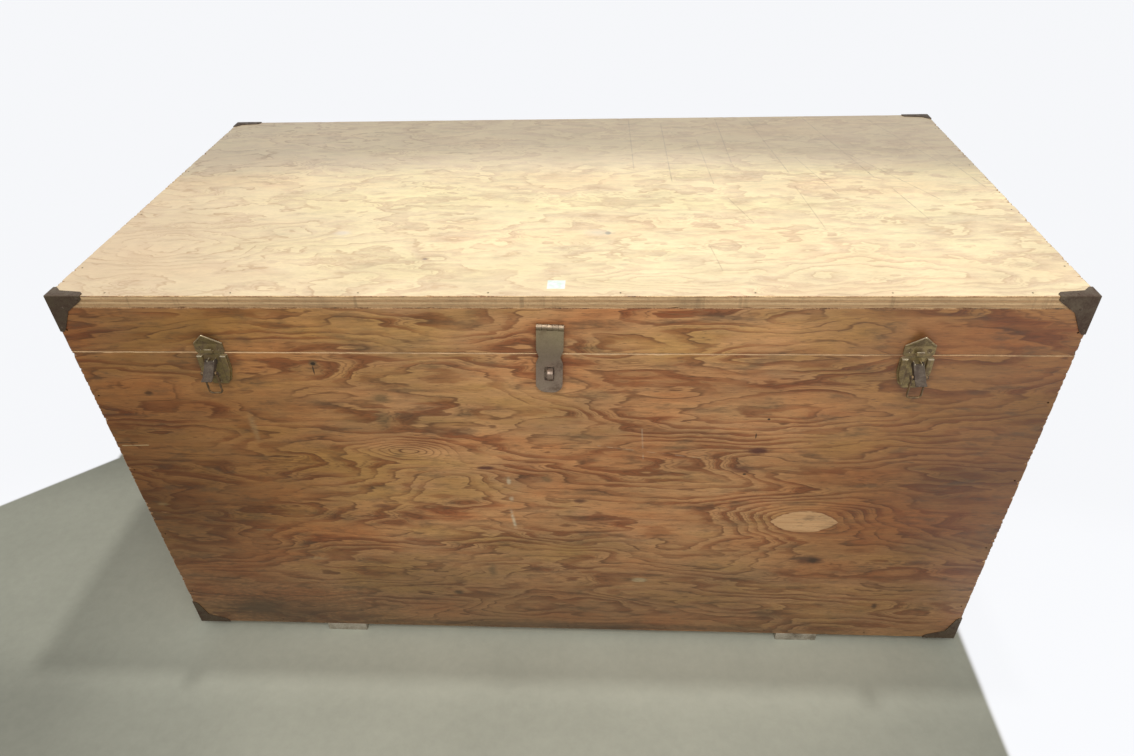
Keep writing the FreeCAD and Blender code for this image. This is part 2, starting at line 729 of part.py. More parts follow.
def lever():
    """The lever, a channel with a flared tip, turned to its rest angle."""
    web_near = LEVER_PIVOT_REACH + LEVER_CHEEK_RADIUS - LEVER_METAL
    web_far = LEVER_PIVOT_REACH + LEVER_CHEEK_RADIUS
    top = -LEVER_PIVOT_DROP
    tip = top - LEVER_LENGTH
    bend = tip + LEVER_TIP_LENGTH
    kick = LEVER_TIP_LENGTH * math.tan(math.radians(LEVER_TIP_BEND))
    web = side_plate(
        [
            (web_near, top - LEVER_WEB_START),
            (web_near, bend),
            (web_near + kick, tip),
            (web_far + kick, tip),
            (web_far, bend),
            (web_far, top - LEVER_WEB_START),
        ],
        LEVER_TIP_HALF_WIDTH,
    )
    mask = wall_plate(
        [
            (-LEVER_HALF_WIDTH, top + OVERSHOOT),
            (LEVER_HALF_WIDTH, top + OVERSHOOT),
            (LEVER_HALF_WIDTH, bend),
            (LEVER_TIP_HALF_WIDTH, tip + LEVER_METAL),
            (LEVER_HALF_WIDTH, tip),
            (-LEVER_HALF_WIDTH, tip),
            (-LEVER_TIP_HALF_WIDTH, tip + LEVER_METAL),
            (-LEVER_HALF_WIDTH, bend),
        ],
        0,
        web_far + kick + OVERSHOOT,
    )
    parts = [single(web.common(mask))]
    inner = LEVER_PIVOT_REACH - LEVER_CHEEK_RADIUS + LEVER_METAL
    heel = top - LEVER_CHEEK_LENGTH
    for side in (-1, 1):
        near, far = sorted((side * LEVER_CHEEK_INNER, side * LEVER_HALF_WIDTH))
        parts.append(rod(Vector(near, LEVER_PIVOT.y, LEVER_PIVOT.z), X_AXIS, LEVER_CHEEK_RADIUS, far - near))
        cheek = side_plate(
            [
                (inner, top),
                (inner, heel + LEVER_METAL),
                (web_far, heel),
                (web_far, top - LEVER_WEB_START),
                (web_near, top - LEVER_WEB_START),
                (web_near, top),
            ],
            LEVER_METAL / 2,
        )
        parts.append(moved(cheek, Vector((near + far) / 2, 0, 0)))
    channel = fuse_all(parts)
    rivet_bore = cross_rod(LEVER_PIVOT.y, LEVER_PIVOT.z, LEVER_RIVET_RADIUS + RUN, BAIL_HALF_WIDTH)
    pin_bore = cross_rod(LINK_CLOSED.y, LINK_CLOSED.z, LINK_PIN_RADIUS + RUN, BAIL_HALF_WIDTH)
    return swung(cut_all(channel, [rivet_bore, pin_bore]), LEVER_REST_ANGLE)


def link_pin():
    """The headed pin that carries the bail, in the lever's second bore."""
    place = link_at_rest()
    reach = BAIL_OUTER + GAP
    pin = cross_rod(place.y, place.z, LINK_PIN_RADIUS, reach + LINK_PIN_HEAD)
    heads = [
        rod(Vector(-reach - LINK_PIN_HEAD, place.y, place.z), X_AXIS, LINK_PIN_HEAD_RADIUS, LINK_PIN_HEAD),
        rod(Vector(reach, place.y, place.z), X_AXIS, LINK_PIN_HEAD_RADIUS, LINK_PIN_HEAD),
    ]
    return fuse_all([pin] + heads)


def bail():
    """The wire loop that hooks over the keeper's nose, hanging from the link pin."""
    place = link_at_rest()
    start = LINK_PIN_RADIUS + BAIL_EYE_LENGTH / 4
    route = [
        place + Vector(-BAIL_HALF_WIDTH, 0, -start),
        place + Vector(-BAIL_HALF_WIDTH, 0, -BAIL_LENGTH),
        place + Vector(BAIL_HALF_WIDTH, 0, -BAIL_LENGTH),
        place + Vector(BAIL_HALF_WIDTH, 0, -start),
    ]
    parts = [bent_rod(route, BAIL_CORNER, BAIL_WIRE)]
    for side in (-1, 1):
        near = side * BAIL_HALF_WIDTH - BAIL_EYE_LENGTH / 2
        parts.append(rod(Vector(near, place.y, place.z), X_AXIS, BAIL_EYE_RADIUS, BAIL_EYE_LENGTH))
    bore = cross_rod(place.y, place.z, LINK_PIN_RADIUS + RUN, BAIL_OUTER + OVERSHOOT)
    return single(fuse_all(parts).cut(bore))


def keeper():
    """The keeper on the lid: a plate, a hood that leans out to a beaded peak, and a hooked nose."""
    half = KEEPER_WIDTH / 2
    chamfer = CAP_END_RADIUS
    foot = -KEEPER_FOOT_DROP
    shoulder = KEEPER_SHOULDER_RISE
    flat = wall_plate(
        [
            (-half + chamfer, foot),
            (half - chamfer, foot),
            (half, foot + chamfer),
            (half, shoulder),
            (-half, shoulder),
            (-half, foot + chamfer),
        ],
        0,
        LATCH_PLATE,
    )
    rise = KEEPER_PEAK_RISE - shoulder
    lean = math.degrees(math.atan2(KEEPER_PEAK_REACH, rise))
    run = math.hypot(KEEPER_PEAK_REACH, rise)
    hood = wall_plate([(-half, shoulder), (half, shoulder), (0, shoulder + run)], 0, LATCH_PLATE)
    hood = turned(hood, Vector(0, 0, shoulder), X_AXIS, lean)
    parts = [flat, hood]
    bead_out = LATCH_PLATE / 2
    peak = Vector(0, -KEEPER_PEAK_REACH - bead_out, KEEPER_PEAK_RISE)
    for side in (-1, 1):
        end = Vector(side * (half - KEEPER_BEAD_RADIUS), -bead_out - GAP, shoulder)
        parts.append(rod_between(end, peak, KEEPER_BEAD_RADIUS))
        parts.append(Part.makeSphere(KEEPER_BEAD_RADIUS, end))
    parts.append(Part.makeSphere(KEEPER_BEAD_RADIUS, peak))
    parts.append(keeper_nose())
    wall = block((-half, 0, 0), (half, KEEPER_BEAD_RADIUS + OVERSHOOT, KEEPER_PEAK_RISE))
    relief = block((-half, -GAP, foot), (half, OVERSHOOT, SEAM_GAP))
    return single(cut_all(fuse_all(parts), [wall, relief]))


def bow_when_closed():
    """Where the bail's bow lies, (height off the wall, z), with the lever shut and the bail hooked."""
    lean = math.radians(BAIL_CLOSED_LEAN)
    reach = -LINK_CLOSED.y - BAIL_LENGTH * math.sin(lean)
    return reach, LINK_CLOSED.z + BAIL_LENGTH * math.cos(lean)


def keeper_nose():
    """The upturned hook that the bail's bow drops into."""
    reach, height = bow_when_closed()
    seat = height - BAIL_WIRE - GAP
    lip_near = reach + BAIL_WIRE + GAP
    lip_far = lip_near + NOSE_METAL
    low = seat - NOSE_METAL
    tip = low + NOSE_LIP
    profile = [(0, low), (lip_far, low), (lip_far, tip), (lip_near, tip), (lip_near, seat), (0, seat)]
    nose = side_plate(profile, NOSE_HALF_WIDTH)
    rim = [
        edge
        for edge in nose.Edges
        if all(abs(vertex.Point.y + lip_far) < 1e-6 for vertex in edge.Vertexes)
    ]
    return nose.makeFillet(NOSE_METAL * 0.45, rim)


def latch_screw_points():
    """Places of a latch base's screw heads."""
    low = -LATCH_BASE_TOP_DROP - LATCH_BASE_LENGTH + 1.6 * SCREW_HEAD_RADIUS
    high = low + 2.6 * SCREW_HEAD_RADIUS
    return [Vector(0, -LATCH_PLATE, low), Vector(0, -LATCH_PLATE, high)]


def keeper_screw_points():
    """Places of a keeper's two screw heads."""
    x = (NOSE_HALF_WIDTH + KEEPER_WIDTH / 2) / 2
    z = KEEPER_SHOULDER_RISE / 2
    return [Vector(side * x, -LATCH_PLATE, z) for side in (-1, 1)]


def latch_place(side, z):
    """The point on the front wall that a latch drawing is moved to."""
    return Vector(side * LATCH_X, FRONT_Y, z)


# End handles


def handle_plate():
    """The handle's plate with its two lugs."""
    half_w = HANDLE_PLATE_WIDTH / 2
    half_h = HANDLE_PLATE_HEIGHT / 2
    flat = block((-half_w, -HANDLE_PLATE_THICKNESS, -half_h), (half_w, 0, half_h))
    flat = rounded_upright_edges(flat, Y_AXIS, half_h * 0.5)
    lug_radius = HANDLE_ROD + HANDLE_LUG_WALL
    parts = [flat]
    for side in (-1, 1):
        x = side * HANDLE_LUG_SPACING / 2 - HANDLE_LUG_LENGTH / 2
        parts.append(rod(Vector(x, -HANDLE_AXIS_REACH, 0), X_AXIS, lug_radius, HANDLE_LUG_LENGTH))
        parts.append(block((x, -HANDLE_AXIS_REACH, -lug_radius), (x + HANDLE_LUG_LENGTH, 0, lug_radius)))
    bore = cross_rod(-HANDLE_AXIS_REACH, 0, HANDLE_ROD + RUN, HANDLE_PLATE_WIDTH)
    return single(fuse_all(parts).cut(bore))


def handle_bail():
    """The bent rod that one lifts by, hanging in the lugs."""
    inner = HANDLE_LUG_SPACING / 2 - HANDLE_LUG_LENGTH / 2
    outer = HANDLE_LUG_SPACING / 2 + HANDLE_LUG_LENGTH / 2 + HANDLE_CORNER + GAP
    y = -HANDLE_AXIS_REACH
    route = [
        Vector(-inner, y, 0),
        Vector(-outer, y, 0),
        Vector(-outer, y, -HANDLE_DROP),
        Vector(outer, y, -HANDLE_DROP),
        Vector(outer, y, 0),
        Vector(inner, y, 0),
    ]
    return bent_rod(route, HANDLE_CORNER, HANDLE_ROD)


def handle_screw_points():
    """Places of a handle plate's four screw heads."""
    x = HANDLE_PLATE_WIDTH / 2 - 3 * SCREW_HEAD_RADIUS
    z = HANDLE_PLATE_HEIGHT / 2 - 2.4 * SCREW_HEAD_RADIUS
    return [Vector(a * x, -HANDLE_PLATE_THICKNESS, b * z) for a in (-1, 1) for b in (-1, 1)]


def on_end_wall(shape, side):
    """A front wall drawing of a handle, turned to face its end."""
    middle = Vector(side * END_X, (FRONT_Y + BACK_Y) / 2, BASE_Z + HANDLE_RISE)
    return moved(turned(shape, ORIGIN, Z_AXIS, 90 * side), middle)


# Wood


def body_panels():
    """The open box and its skids."""
    inner_x = END_X - PLY
    panels = {
        "front_panel": block((-END_X, FRONT_Y, BASE_Z), (END_X, FRONT_Y + PLY, SEAM_Z)),
        "back_panel": block((-END_X, BACK_Y - PLY, BASE_Z), (END_X, BACK_Y, SEAM_Z)),
        "left_end_panel": block((-END_X, FRONT_Y + PLY, BASE_Z), (-inner_x, BACK_Y - PLY, SEAM_Z)),
        "right_end_panel": block((inner_x, FRONT_Y + PLY, BASE_Z), (END_X, BACK_Y - PLY, SEAM_Z)),
        "bottom_panel": block((-inner_x, FRONT_Y + PLY, BASE_Z), (inner_x, BACK_Y - PLY, BASE_Z + PLY)),
    }
    for name, side in (("left", -1), ("right", 1)):
        low = side * SKID_X - SKID_WIDTH / 2
        panels[f"{name}_skid"] = block((low, FRONT_Y, 0), (low + SKID_WIDTH, BACK_Y, SKID_THICKNESS))
    return panels


def lid_panels():
    """The lid: a top that laps four rails."""
    inner_x = END_X - PLY
    return {
        "lid_top_panel": block((-END_X, FRONT_Y, RAIL_TOP_Z), (END_X, BACK_Y, TOP_Z)),
        "lid_front_rail": block((-END_X, FRONT_Y, LID_Z), (END_X, FRONT_Y + PLY, RAIL_TOP_Z)),
        "lid_back_rail": block((-END_X, BACK_Y - PLY, LID_Z), (END_X, BACK_Y, RAIL_TOP_Z)),
        "lid_left_rail": block((-END_X, FRONT_Y + PLY, LID_Z), (-inner_x, BACK_Y - PLY, RAIL_TOP_Z)),
        "lid_right_rail": block((inner_x, FRONT_Y + PLY, LID_Z), (END_X, BACK_Y - PLY, RAIL_TOP_Z)),
    }


# Assembly


def add_screws(points, place, holes, screws):
    """Put screws at drawing points, move them with the place function, and note the holes that they need."""
    for point in points:
        solid = screw(point, Y_AXIS)
        holes.append(place(solid))
        screws.append(place(slotted(solid, point, Y_AXIS)))


def bored(nodes, cutters):
    """Every node with the cutters that reach it taken out."""
    for name, shape in nodes.items():
        near = [c for c in cutters if shape.BoundBox.intersect(c.BoundBox)]
        nodes[name] = cut_all(shape, near)


def build_body():
    """All pieces that stand still."""
    nodes = body_panels()
    base_cap = (BASE_CAP_LEG, BASE_CAP_DROP, BASE_CAP_LEG_WIDTH, BASE_CAP_WEB)
    caps, tacks = corner_set("base_corner", *base_cap, -1, BASE_Z)
    nodes.update(caps)
    brads = body_brads()
    holes = brads + tacks + skid_nail_bores()
    screws = []
    for name, side in (("left", -1), ("right", 1)):
        place = latch_place(side, SEAM_Z)
        nodes[f"{name}_latch_base"] = moved(latch_base(), place)
        nodes[f"{name}_latch_rivet"] = moved(lever_rivet(), place)
        add_screws(latch_screw_points(), lambda s, p=place: moved(s, p), holes, screws)
        nodes[f"{name}_handle_plate"] = on_end_wall(handle_plate(), side)
        add_screws(handle_screw_points(), lambda s, e=side: on_end_wall(s, e), holes, screws)
    nodes["hasp_staple_plate"] = moved(staple_plate(), staple_centre())
    nodes["hasp_staple_loop"] = moved(staple_loop(), staple_centre())
    add_screws(staple_screw_points(), lambda s: moved(s, staple_centre()), holes, screws)
    for name, x in (("left", -HINGE_X), ("middle", 0), ("right", HINGE_X)):
        nodes[f"hinge_{name}_body_leaf"] = on_back_wall(hinge_leaf(-1, 0, HINGE_PIN_RADIUS), x)
        pin = cross_rod(-HINGE_AXIS_REACH, 0, HINGE_PIN_RADIUS, HINGE_LENGTH / 2)
        nodes[f"hinge_{name}_pin"] = on_back_wall(pin, x)
        add_screws(hinge_screw_points(-1), lambda s, c=x: on_back_wall(s, c), holes, screws)
    loop = nodes.pop("hasp_staple_loop")
    bored(nodes, holes + [loop])
    nodes["hasp_staple_loop"] = loop
    nodes["body_brads"] = Part.makeCompound(brads)
    nodes["skid_nails"] = Part.makeCompound(skid_nails())
    nodes["base_corner_tacks"] = Part.makeCompound(tacks)
    nodes["body_screws"] = Part.makeCompound(screws)
    return nodes


def build_lid():
    """All pieces that ride on the lid, apart from the hasp's flap."""
    nodes = lid_panels()
    lid_cap = (LID_CAP_LEG, LID_CAP_DROP, LID_CAP_LEG_WIDTH, LID_CAP_WEB)
    caps, tacks = corner_set("lid_corner", *lid_cap, 1, TOP_Z)
    nodes.update(caps)
    brads = lid_brads()
    holes = brads + tacks
    screws = []
    for name, side in (("left", -1), ("right", 1)):
        place = latch_place(side, SEAM_Z)
        nodes[f"{name}_keeper"] = moved(keeper(), place)
        add_screws(keeper_screw_points(), lambda s, p=place: moved(s, p), holes, screws)
    nodes["hasp_leaf"] = in_hasp_place(hasp_leaf())
    nodes["hasp_pin"] = in_hasp_place(cross_rod(-HASP_AXIS_REACH, 0, HASP_PIN_RADIUS, HASP_WIDTH / 2))
    add_screws(hasp_screw_points(), in_hasp_place, holes, screws)
    for name, x in (("left", -HINGE_X), ("middle", 0), ("right", HINGE_X)):
        nodes[f"hinge_{name}_lid_leaf"] = on_back_wall(hinge_leaf(1, 1, HINGE_PIN_RADIUS + RUN), x)
        add_screws(hinge_screw_points(1), lambda s, c=x: on_back_wall(s, c), holes, screws)
    bored(nodes, holes)
    nodes["lid_brads"] = Part.makeCompound(brads)
    nodes["lid_corner_tacks"] = Part.makeCompound(tacks)
    nodes["lid_screws"] = Part.makeCompound(screws)
    return nodes


def build_movers():
    """The pieces that move by themselves."""
    nodes = {"hasp_flap": in_hasp_place(hasp_flap())}
    for name, side in (("left", -1), ("right", 1)):
        place = latch_place(side, SEAM_Z)
        nodes[f"{name}_latch_lever"] = moved(lever(), place)
        nodes[f"{name}_latch_link_pin"] = moved(link_pin(), place)
        nodes[f"{name}_latch_bail"] = moved(bail(), place)
        nodes[f"{name}_handle_bail"] = on_end_wall(handle_bail(), side)
    return nodes


def main():
    """Build every piece and write one STEP file for each."""
    os.makedirs("parts", exist_ok=True)
    nodes = {}
    nodes.update(build_body())
    nodes.update(build_lid())
    nodes.update(build_movers())
    for name, shape in nodes.items():
        shape.exportStep(os.path.join("parts", name + ".step"))
        print(f"{name}: {len(shape.Solids)} solids, {shape.Volume / 1000:.2f} cm3, valid {shape.isValid()}")


main()
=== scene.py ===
"""Looks for a plywood chuck box: worn boards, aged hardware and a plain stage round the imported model."""

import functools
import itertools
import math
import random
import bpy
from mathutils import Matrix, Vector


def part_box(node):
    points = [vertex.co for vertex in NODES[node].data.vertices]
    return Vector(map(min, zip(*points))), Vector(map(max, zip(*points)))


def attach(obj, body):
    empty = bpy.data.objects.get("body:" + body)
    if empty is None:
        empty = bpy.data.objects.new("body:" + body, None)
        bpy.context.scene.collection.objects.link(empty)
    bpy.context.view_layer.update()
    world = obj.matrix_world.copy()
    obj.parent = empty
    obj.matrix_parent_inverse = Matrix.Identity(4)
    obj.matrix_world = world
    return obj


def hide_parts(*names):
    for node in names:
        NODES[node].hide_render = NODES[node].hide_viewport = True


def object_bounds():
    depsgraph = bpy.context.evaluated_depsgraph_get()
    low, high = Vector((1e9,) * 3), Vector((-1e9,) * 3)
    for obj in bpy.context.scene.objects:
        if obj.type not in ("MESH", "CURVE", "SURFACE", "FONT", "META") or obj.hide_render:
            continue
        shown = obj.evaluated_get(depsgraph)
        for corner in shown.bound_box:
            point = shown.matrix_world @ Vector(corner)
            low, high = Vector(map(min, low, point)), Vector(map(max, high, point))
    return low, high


bl_info = {
    "name": "Plywood Chuck Box",
    "version": (1, 0, 0),
    "blender": (4, 5, 0),
    "location": "3D View > Sidebar > Chuck Box",
    "description": "Dresses a packed plywood camp chest with worn boards and aged hardware",
    "category": "Object",
}

import bmesh
import bpy
from mathutils import Matrix, Vector

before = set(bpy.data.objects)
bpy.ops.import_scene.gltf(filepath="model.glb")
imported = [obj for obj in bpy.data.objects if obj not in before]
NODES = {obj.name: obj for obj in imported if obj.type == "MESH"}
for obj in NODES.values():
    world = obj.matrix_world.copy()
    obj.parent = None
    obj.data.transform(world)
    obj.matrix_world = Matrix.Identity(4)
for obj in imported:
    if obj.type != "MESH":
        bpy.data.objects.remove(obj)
BOX_AT_LOAD = [list(corner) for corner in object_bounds()]

# Places on the chest, read from the frame
FRONT_LOW, FRONT_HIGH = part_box("front_panel")
FRONT_Y = FRONT_LOW.y
BACK_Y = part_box("back_panel")[1].y
END_X = FRONT_HIGH.x
BASE_Z = FRONT_LOW.z
SEAM_Z = FRONT_HIGH.z
TOP_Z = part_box("lid_top_panel")[1].z
PLY = FRONT_HIGH.y - FRONT_LOW.y

# The axes of thickness and of grain, by number, for each side of the chest
BOARD_AXES = {"front": (1, 0), "back": (1, 0), "left": (0, 1), "right": (0, 1), "top": (2, 0)}
SIDES = ("left", "right")

# Brads: how far a head on a side stands out, and how far one on the lid's top is sunk
HEAD_PROUD = 0.00012
HEAD_SUNK = 0.0005
SAME_PLACE = 1e-5

# Camera: the width of its frame in pixels, and its axes as the chest's own
FRAME_WIDTH = 1134
SENSOR_WIDTH = 36.0
CAMERA_RIGHT = (0.99851021, 0.04705157, -0.02763162)
CAMERA_DOWN = (0.0059392, -0.59710626, -0.80214017)
CAMERA_AHEAD = (-0.05424097, 0.80078104, -0.59649614)

# Lamps: places, what they face and sizes
PANEL_PLACE, PANEL_TARGET = (0.12, FRONT_Y - 1.1, 1.8), (0.08, FRONT_Y, 0.40)
PANEL_WIDTH, PANEL_HEIGHT = 1.3, 0.8
LAMP_PLACE, LAMP_TARGET = (0.3, FRONT_Y + 0.33, 3.0), (-0.2, FRONT_Y - 3.6, -0.6)
LAMP_RADIUS = 0.07
LAMP_CONE = math.radians(100)
LAMP_SOFT_RIM = 0.04

# The concrete's outline, where the white surround takes over
FLOOR_REACH = 9
FLOOR_BACK = BACK_Y + 0.35
FLOOR_LEFT = -0.972
FLOOR_RIGHT = 0.631
LEFT_TURN_Y = FRONT_Y + 0.409
LEFT_SLANT = 1.18
OUTLINE_BLUR = 0.006

# How much of the surround the camera sees as plain white
PLAIN_SHARE = 0.93


def paint(red, green, blue):
    """A linear colour from the 0 to 255 values that a paint chart gives."""
    return tuple(((c / 255 + 0.055) / 1.055) ** 2.4 if c > 10 else c / 3294.6 for c in (red, green, blue))


def rgba(colour):
    """A colour with full opacity, for a node's socket."""
    return (*colour, 1.0)


# Settings


def length_property(label, words, default):
    """A small length that a user can change."""
    return bpy.props.FloatProperty(
        name=label, description=words, default=default, min=0.0, precision=5, subtype="DISTANCE",
        unit="LENGTH"
    )


def colour_property(label, words, red, green, blue):
    """A colour that a user can change, from a paint chart's values."""
    return bpy.props.FloatVectorProperty(
        name=label, description=words, default=paint(red, green, blue), size=3, min=0.0, max=1.0,
        subtype="COLOR"
    )


class ChuckBoxWood(bpy.types.PropertyGroup):
    """Sizes and colours of the boards."""

    rub: length_property("Edge rub", "How far the arrises are rubbed back", 0.0009)
    splinter: length_property("Splinter depth", "Deepest splinter at a board's end", 0.0065)
    chip: length_property("Chip depth", "Deepest chip along the grain", 0.0022)
    honey: colour_property("Earlywood", "Varnished earlywood on the sides", 193, 143, 94)
    amber: colour_property("Latewood", "Varnished latewood on the sides", 142, 85, 49)
    umber: colour_property("Growth line", "Dark growth line on the sides", 100, 62, 38)
    straw: colour_property("Bleached earlywood", "Sun-bleached earlywood on the lid", 232, 212, 168)
    wheat: colour_property("Bleached latewood", "Sun-bleached latewood on the lid", 211, 185, 150)
    bark: colour_property("Bleached growth line", "Growth line on the lid", 200, 168, 130)
    raw: colour_property("Raw wood", "Bare wood at rubbed edges", 222, 186, 138)
    core: colour_property("Core ply", "End grain of the cross plies", 172, 130, 88)
    glue: colour_property("Glue line", "Dark glue between the plies", 104, 70, 42)
    grime: colour_property("Grime", "Handling dirt", 70, 58, 44)
    skid: colour_property("Skid", "Weathered pine under the chest", 176, 166, 148)


class ChuckBoxMetal(bpy.types.PropertyGroup):
    """Colours of the hardware."""

    iron: colour_property("Corner iron", "Stamped corner caps", 98, 84, 66)
    rust: colour_property("Rust", "Rust on the iron", 66, 46, 32)
    nickel: colour_property("Hasp plate", "Worn plate on the hasp", 186, 168, 144)
    tarnish: colour_property("Tarnish", "Green-brown tarnish", 100, 80, 58)
    brass: colour_property("Brass", "Brass plate on the latches", 160, 140, 94)
    steel: colour_property("Steel", "Bare worn steel", 112, 98, 82)
    soot: colour_property("Dark steel", "Dark worn steel", 66, 53, 42)


class ChuckBoxStage(bpy.types.PropertyGroup):
    """Camera, lamps and floor."""

    eye: bpy.props.FloatVectorProperty(
        name="Camera place", description="Camera from the chest's front bottom edge, middle", size=3,
        default=(0.06562, -0.78741, 1.09332), subtype="TRANSLATION", unit="LENGTH"
    )
    focal: bpy.props.FloatProperty(
        name="Focal length", description="Lens in pixels of the frame", default=792.97, subtype="PIXEL"
    )
    key: bpy.props.FloatProperty(
        name="Soft panel", description="Power of the soft panel in front", default=18.0, unit="POWER"
    )
    spot: bpy.props.FloatProperty(
        name="Top lamp", description="Power of the lamp over the lid", default=120.0, unit="POWER"
    )
    sky: bpy.props.FloatProperty(
        name="Room light", description="Strength of the room's own light", default=0.45, min=0.0, max=1.0,
        subtype="FACTOR"
    )
    floor: colour_property("Floor", "Pale concrete floor", 163, 163, 147)
    wall: colour_property("Surround", "White surround", 250, 250, 252)


def wood():
    """The wood settings of the scene."""
    return bpy.context.scene.chuck_box_wood


def metal():
    """The metal settings of the scene."""
    return bpy.context.scene.chuck_box_metal


def stage():
    """The stage settings of the scene."""
    return bpy.context.scene.chuck_box_stage


# Node wiring


class Wiring:
    """Short calls that add nodes to one tree and join them."""

    def __init__(self, tree):
        self.tree = tree

    def feed(self, socket, value):
        """Link a socket or set its value."""
        if isinstance(value, bpy.types.NodeSocket):
            self.tree.links.new(value, socket)
        elif value is not None:
            socket.default_value = value

    def add(self, kind, values=None, **settings):
        """A new node's outputs; values are its inputs by name or number, settings its attributes."""
        node = self.tree.nodes.new("ShaderNode" + kind)
        for key, value in settings.items():
            setattr(node, key, value)
        for key, value in (values or {}).items():
            self.feed(node.inputs[key], value)
        return node.outputs

    def math(self, operation, a, b=None, c=None, clamp=False):
        """A math node's result."""
        return self.add("Math", {0: a, 1: b, 2: c}, operation=operation, use_clamp=clamp)[0]

    plus = functools.partialmethod(math, "ADD")
    minus = functools.partialmethod(math, "SUBTRACT")
    times = functools.partialmethod(math, "MULTIPLY")
    over = functools.partialmethod(math, "DIVIDE")

    def sway(self, base, field, amount):
        """A value moved up and down by a field that lies about one half."""
        return self.math("MULTIPLY_ADD", self.minus(field, 0.5), amount, base)

    def vector(self, operation, a, b=None):
        """A vector math node's vector."""
        return self.add("VectorMath", {0: a, 1: b}, operation=operation)[0]

    def gauge(self, operation, a, b=None):
        """A vector math node's value."""
        return self.add("VectorMath", {0: a, 1: b}, operation=operation)["Value"]

    def parts(self, vector):
        """A vector's three numbers."""
        return self.add("SeparateXYZ", {0: vector})

    def blend(self, factor, a, b, how="MIX"):
        """A mix of two colours."""
        return self.add("Mix", {0: factor, 6: a, 7: b}, data_type="RGBA", blend_type=how)[2]

    def shade(self, colour, value):
        """A colour multiplied by one value."""
        grey = self.add("CombineColor", {0: value, 1: value, 2: value})[0]
        return self.blend(1.0, colour, grey, "MULTIPLY")

    def span(self, value, low, high, start=0.0, end=1.0, kind="LINEAR"):
        """A value moved from one range to another, clamped."""
        values = {"Value": value, "From Min": low, "From Max": high, "To Min": start, "To Max": end}
        return self.add("MapRange", values, interpolation_type=kind)[0]

    def ease(self, value, low, high, start=0.0, end=1.0):
        """The same with soft ends."""
        return self.span(value, low, high, start, end, "SMOOTHSTEP")

    def ramp(self, factor, stops):
        """A colour ramp through (position, colour) stops."""
        ramp = self.add("ValToRGB", {0: factor})[0]
        elements = ramp.node.color_ramp.elements
        while len(elements) < len(stops):
            elements.new(0.5)
        for element, (position, colour) in zip(elements, stops):
            element.position = position
            element.color = rgba(colour)
        return ramp

    def stretch(self, vector, along, across, depth=1.0):
        """A vector scaled by three numbers."""
        return self.add("Mapping", {"Vector": vector, "Scale": (along, across, depth)})[0]

    def noise(self, vector, scale, detail=2.0, rough=0.5, twist=0.0):
        """A noise value, of one scale or of scales along, across and through the wood."""
        if isinstance(scale, tuple):
            vector, scale = self.stretch(vector, *scale), 1.0
        values = {"Vector": vector, "Scale": scale, "Detail": detail, "Roughness": rough, "Distortion": twist}
        return self.add("TexNoise", values)[0]

    def group(self, tree, values):
        """The outputs of a group placed with its own values."""
        node = self.tree.nodes.new("ShaderNodeGroup")
        node.node_tree = tree
        for key, value in values.items():
            self.feed(node.inputs[key], value)
        return node.outputs

    def shown(self):
        """1 on rays that show the surround: from the camera, or by way of metal or glass."""
        rays = self.add("LightPath")
        shown = self.math("MAXIMUM", rays["Is Camera Ray"], rays["Is Glossy Ray"])
        return self.math("MAXIMUM", shown, rays["Is Transmission Ray"])


# Shared effects


ORIGIN = (0.0, 0.0, 0.0)
FLAT = (1.0, 1.0, 0.0)


def group_tree(name, inputs, colours=(), values=()):
    """A new shader group with its sockets, and the wiring, input sockets and output sockets inside it."""
    tree = bpy.data.node_groups.new(name, "ShaderNodeTree")
    for label, default in inputs.items():
        kind = ("Color" if len(default) == 4 else "Vector") if isinstance(default, tuple) else "Float"
        socket = tree.interface.new_socket(name=label, in_out="INPUT", socket_type="NodeSocket" + kind)
        socket.default_value = default
    for kind, labels in (("Color", colours), ("Float", values)):
        for label in labels:
            tree.interface.new_socket(name=label, in_out="OUTPUT", socket_type="NodeSocket" + kind)
    return Wiring(tree), tree.nodes.new("NodeGroupInput").outputs, tree.nodes.new("NodeGroupOutput").inputs


def oval_reach(w, given):
    """How far a place is from a mark's middle, where 1 is the mark's rim."""
    away = w.vector("SUBTRACT", given["Vector"], given["Middle"])
    return w.gauge("LENGTH", w.vector("MULTIPLY", w.vector("DIVIDE", away, given["Reach"]), FLAT))


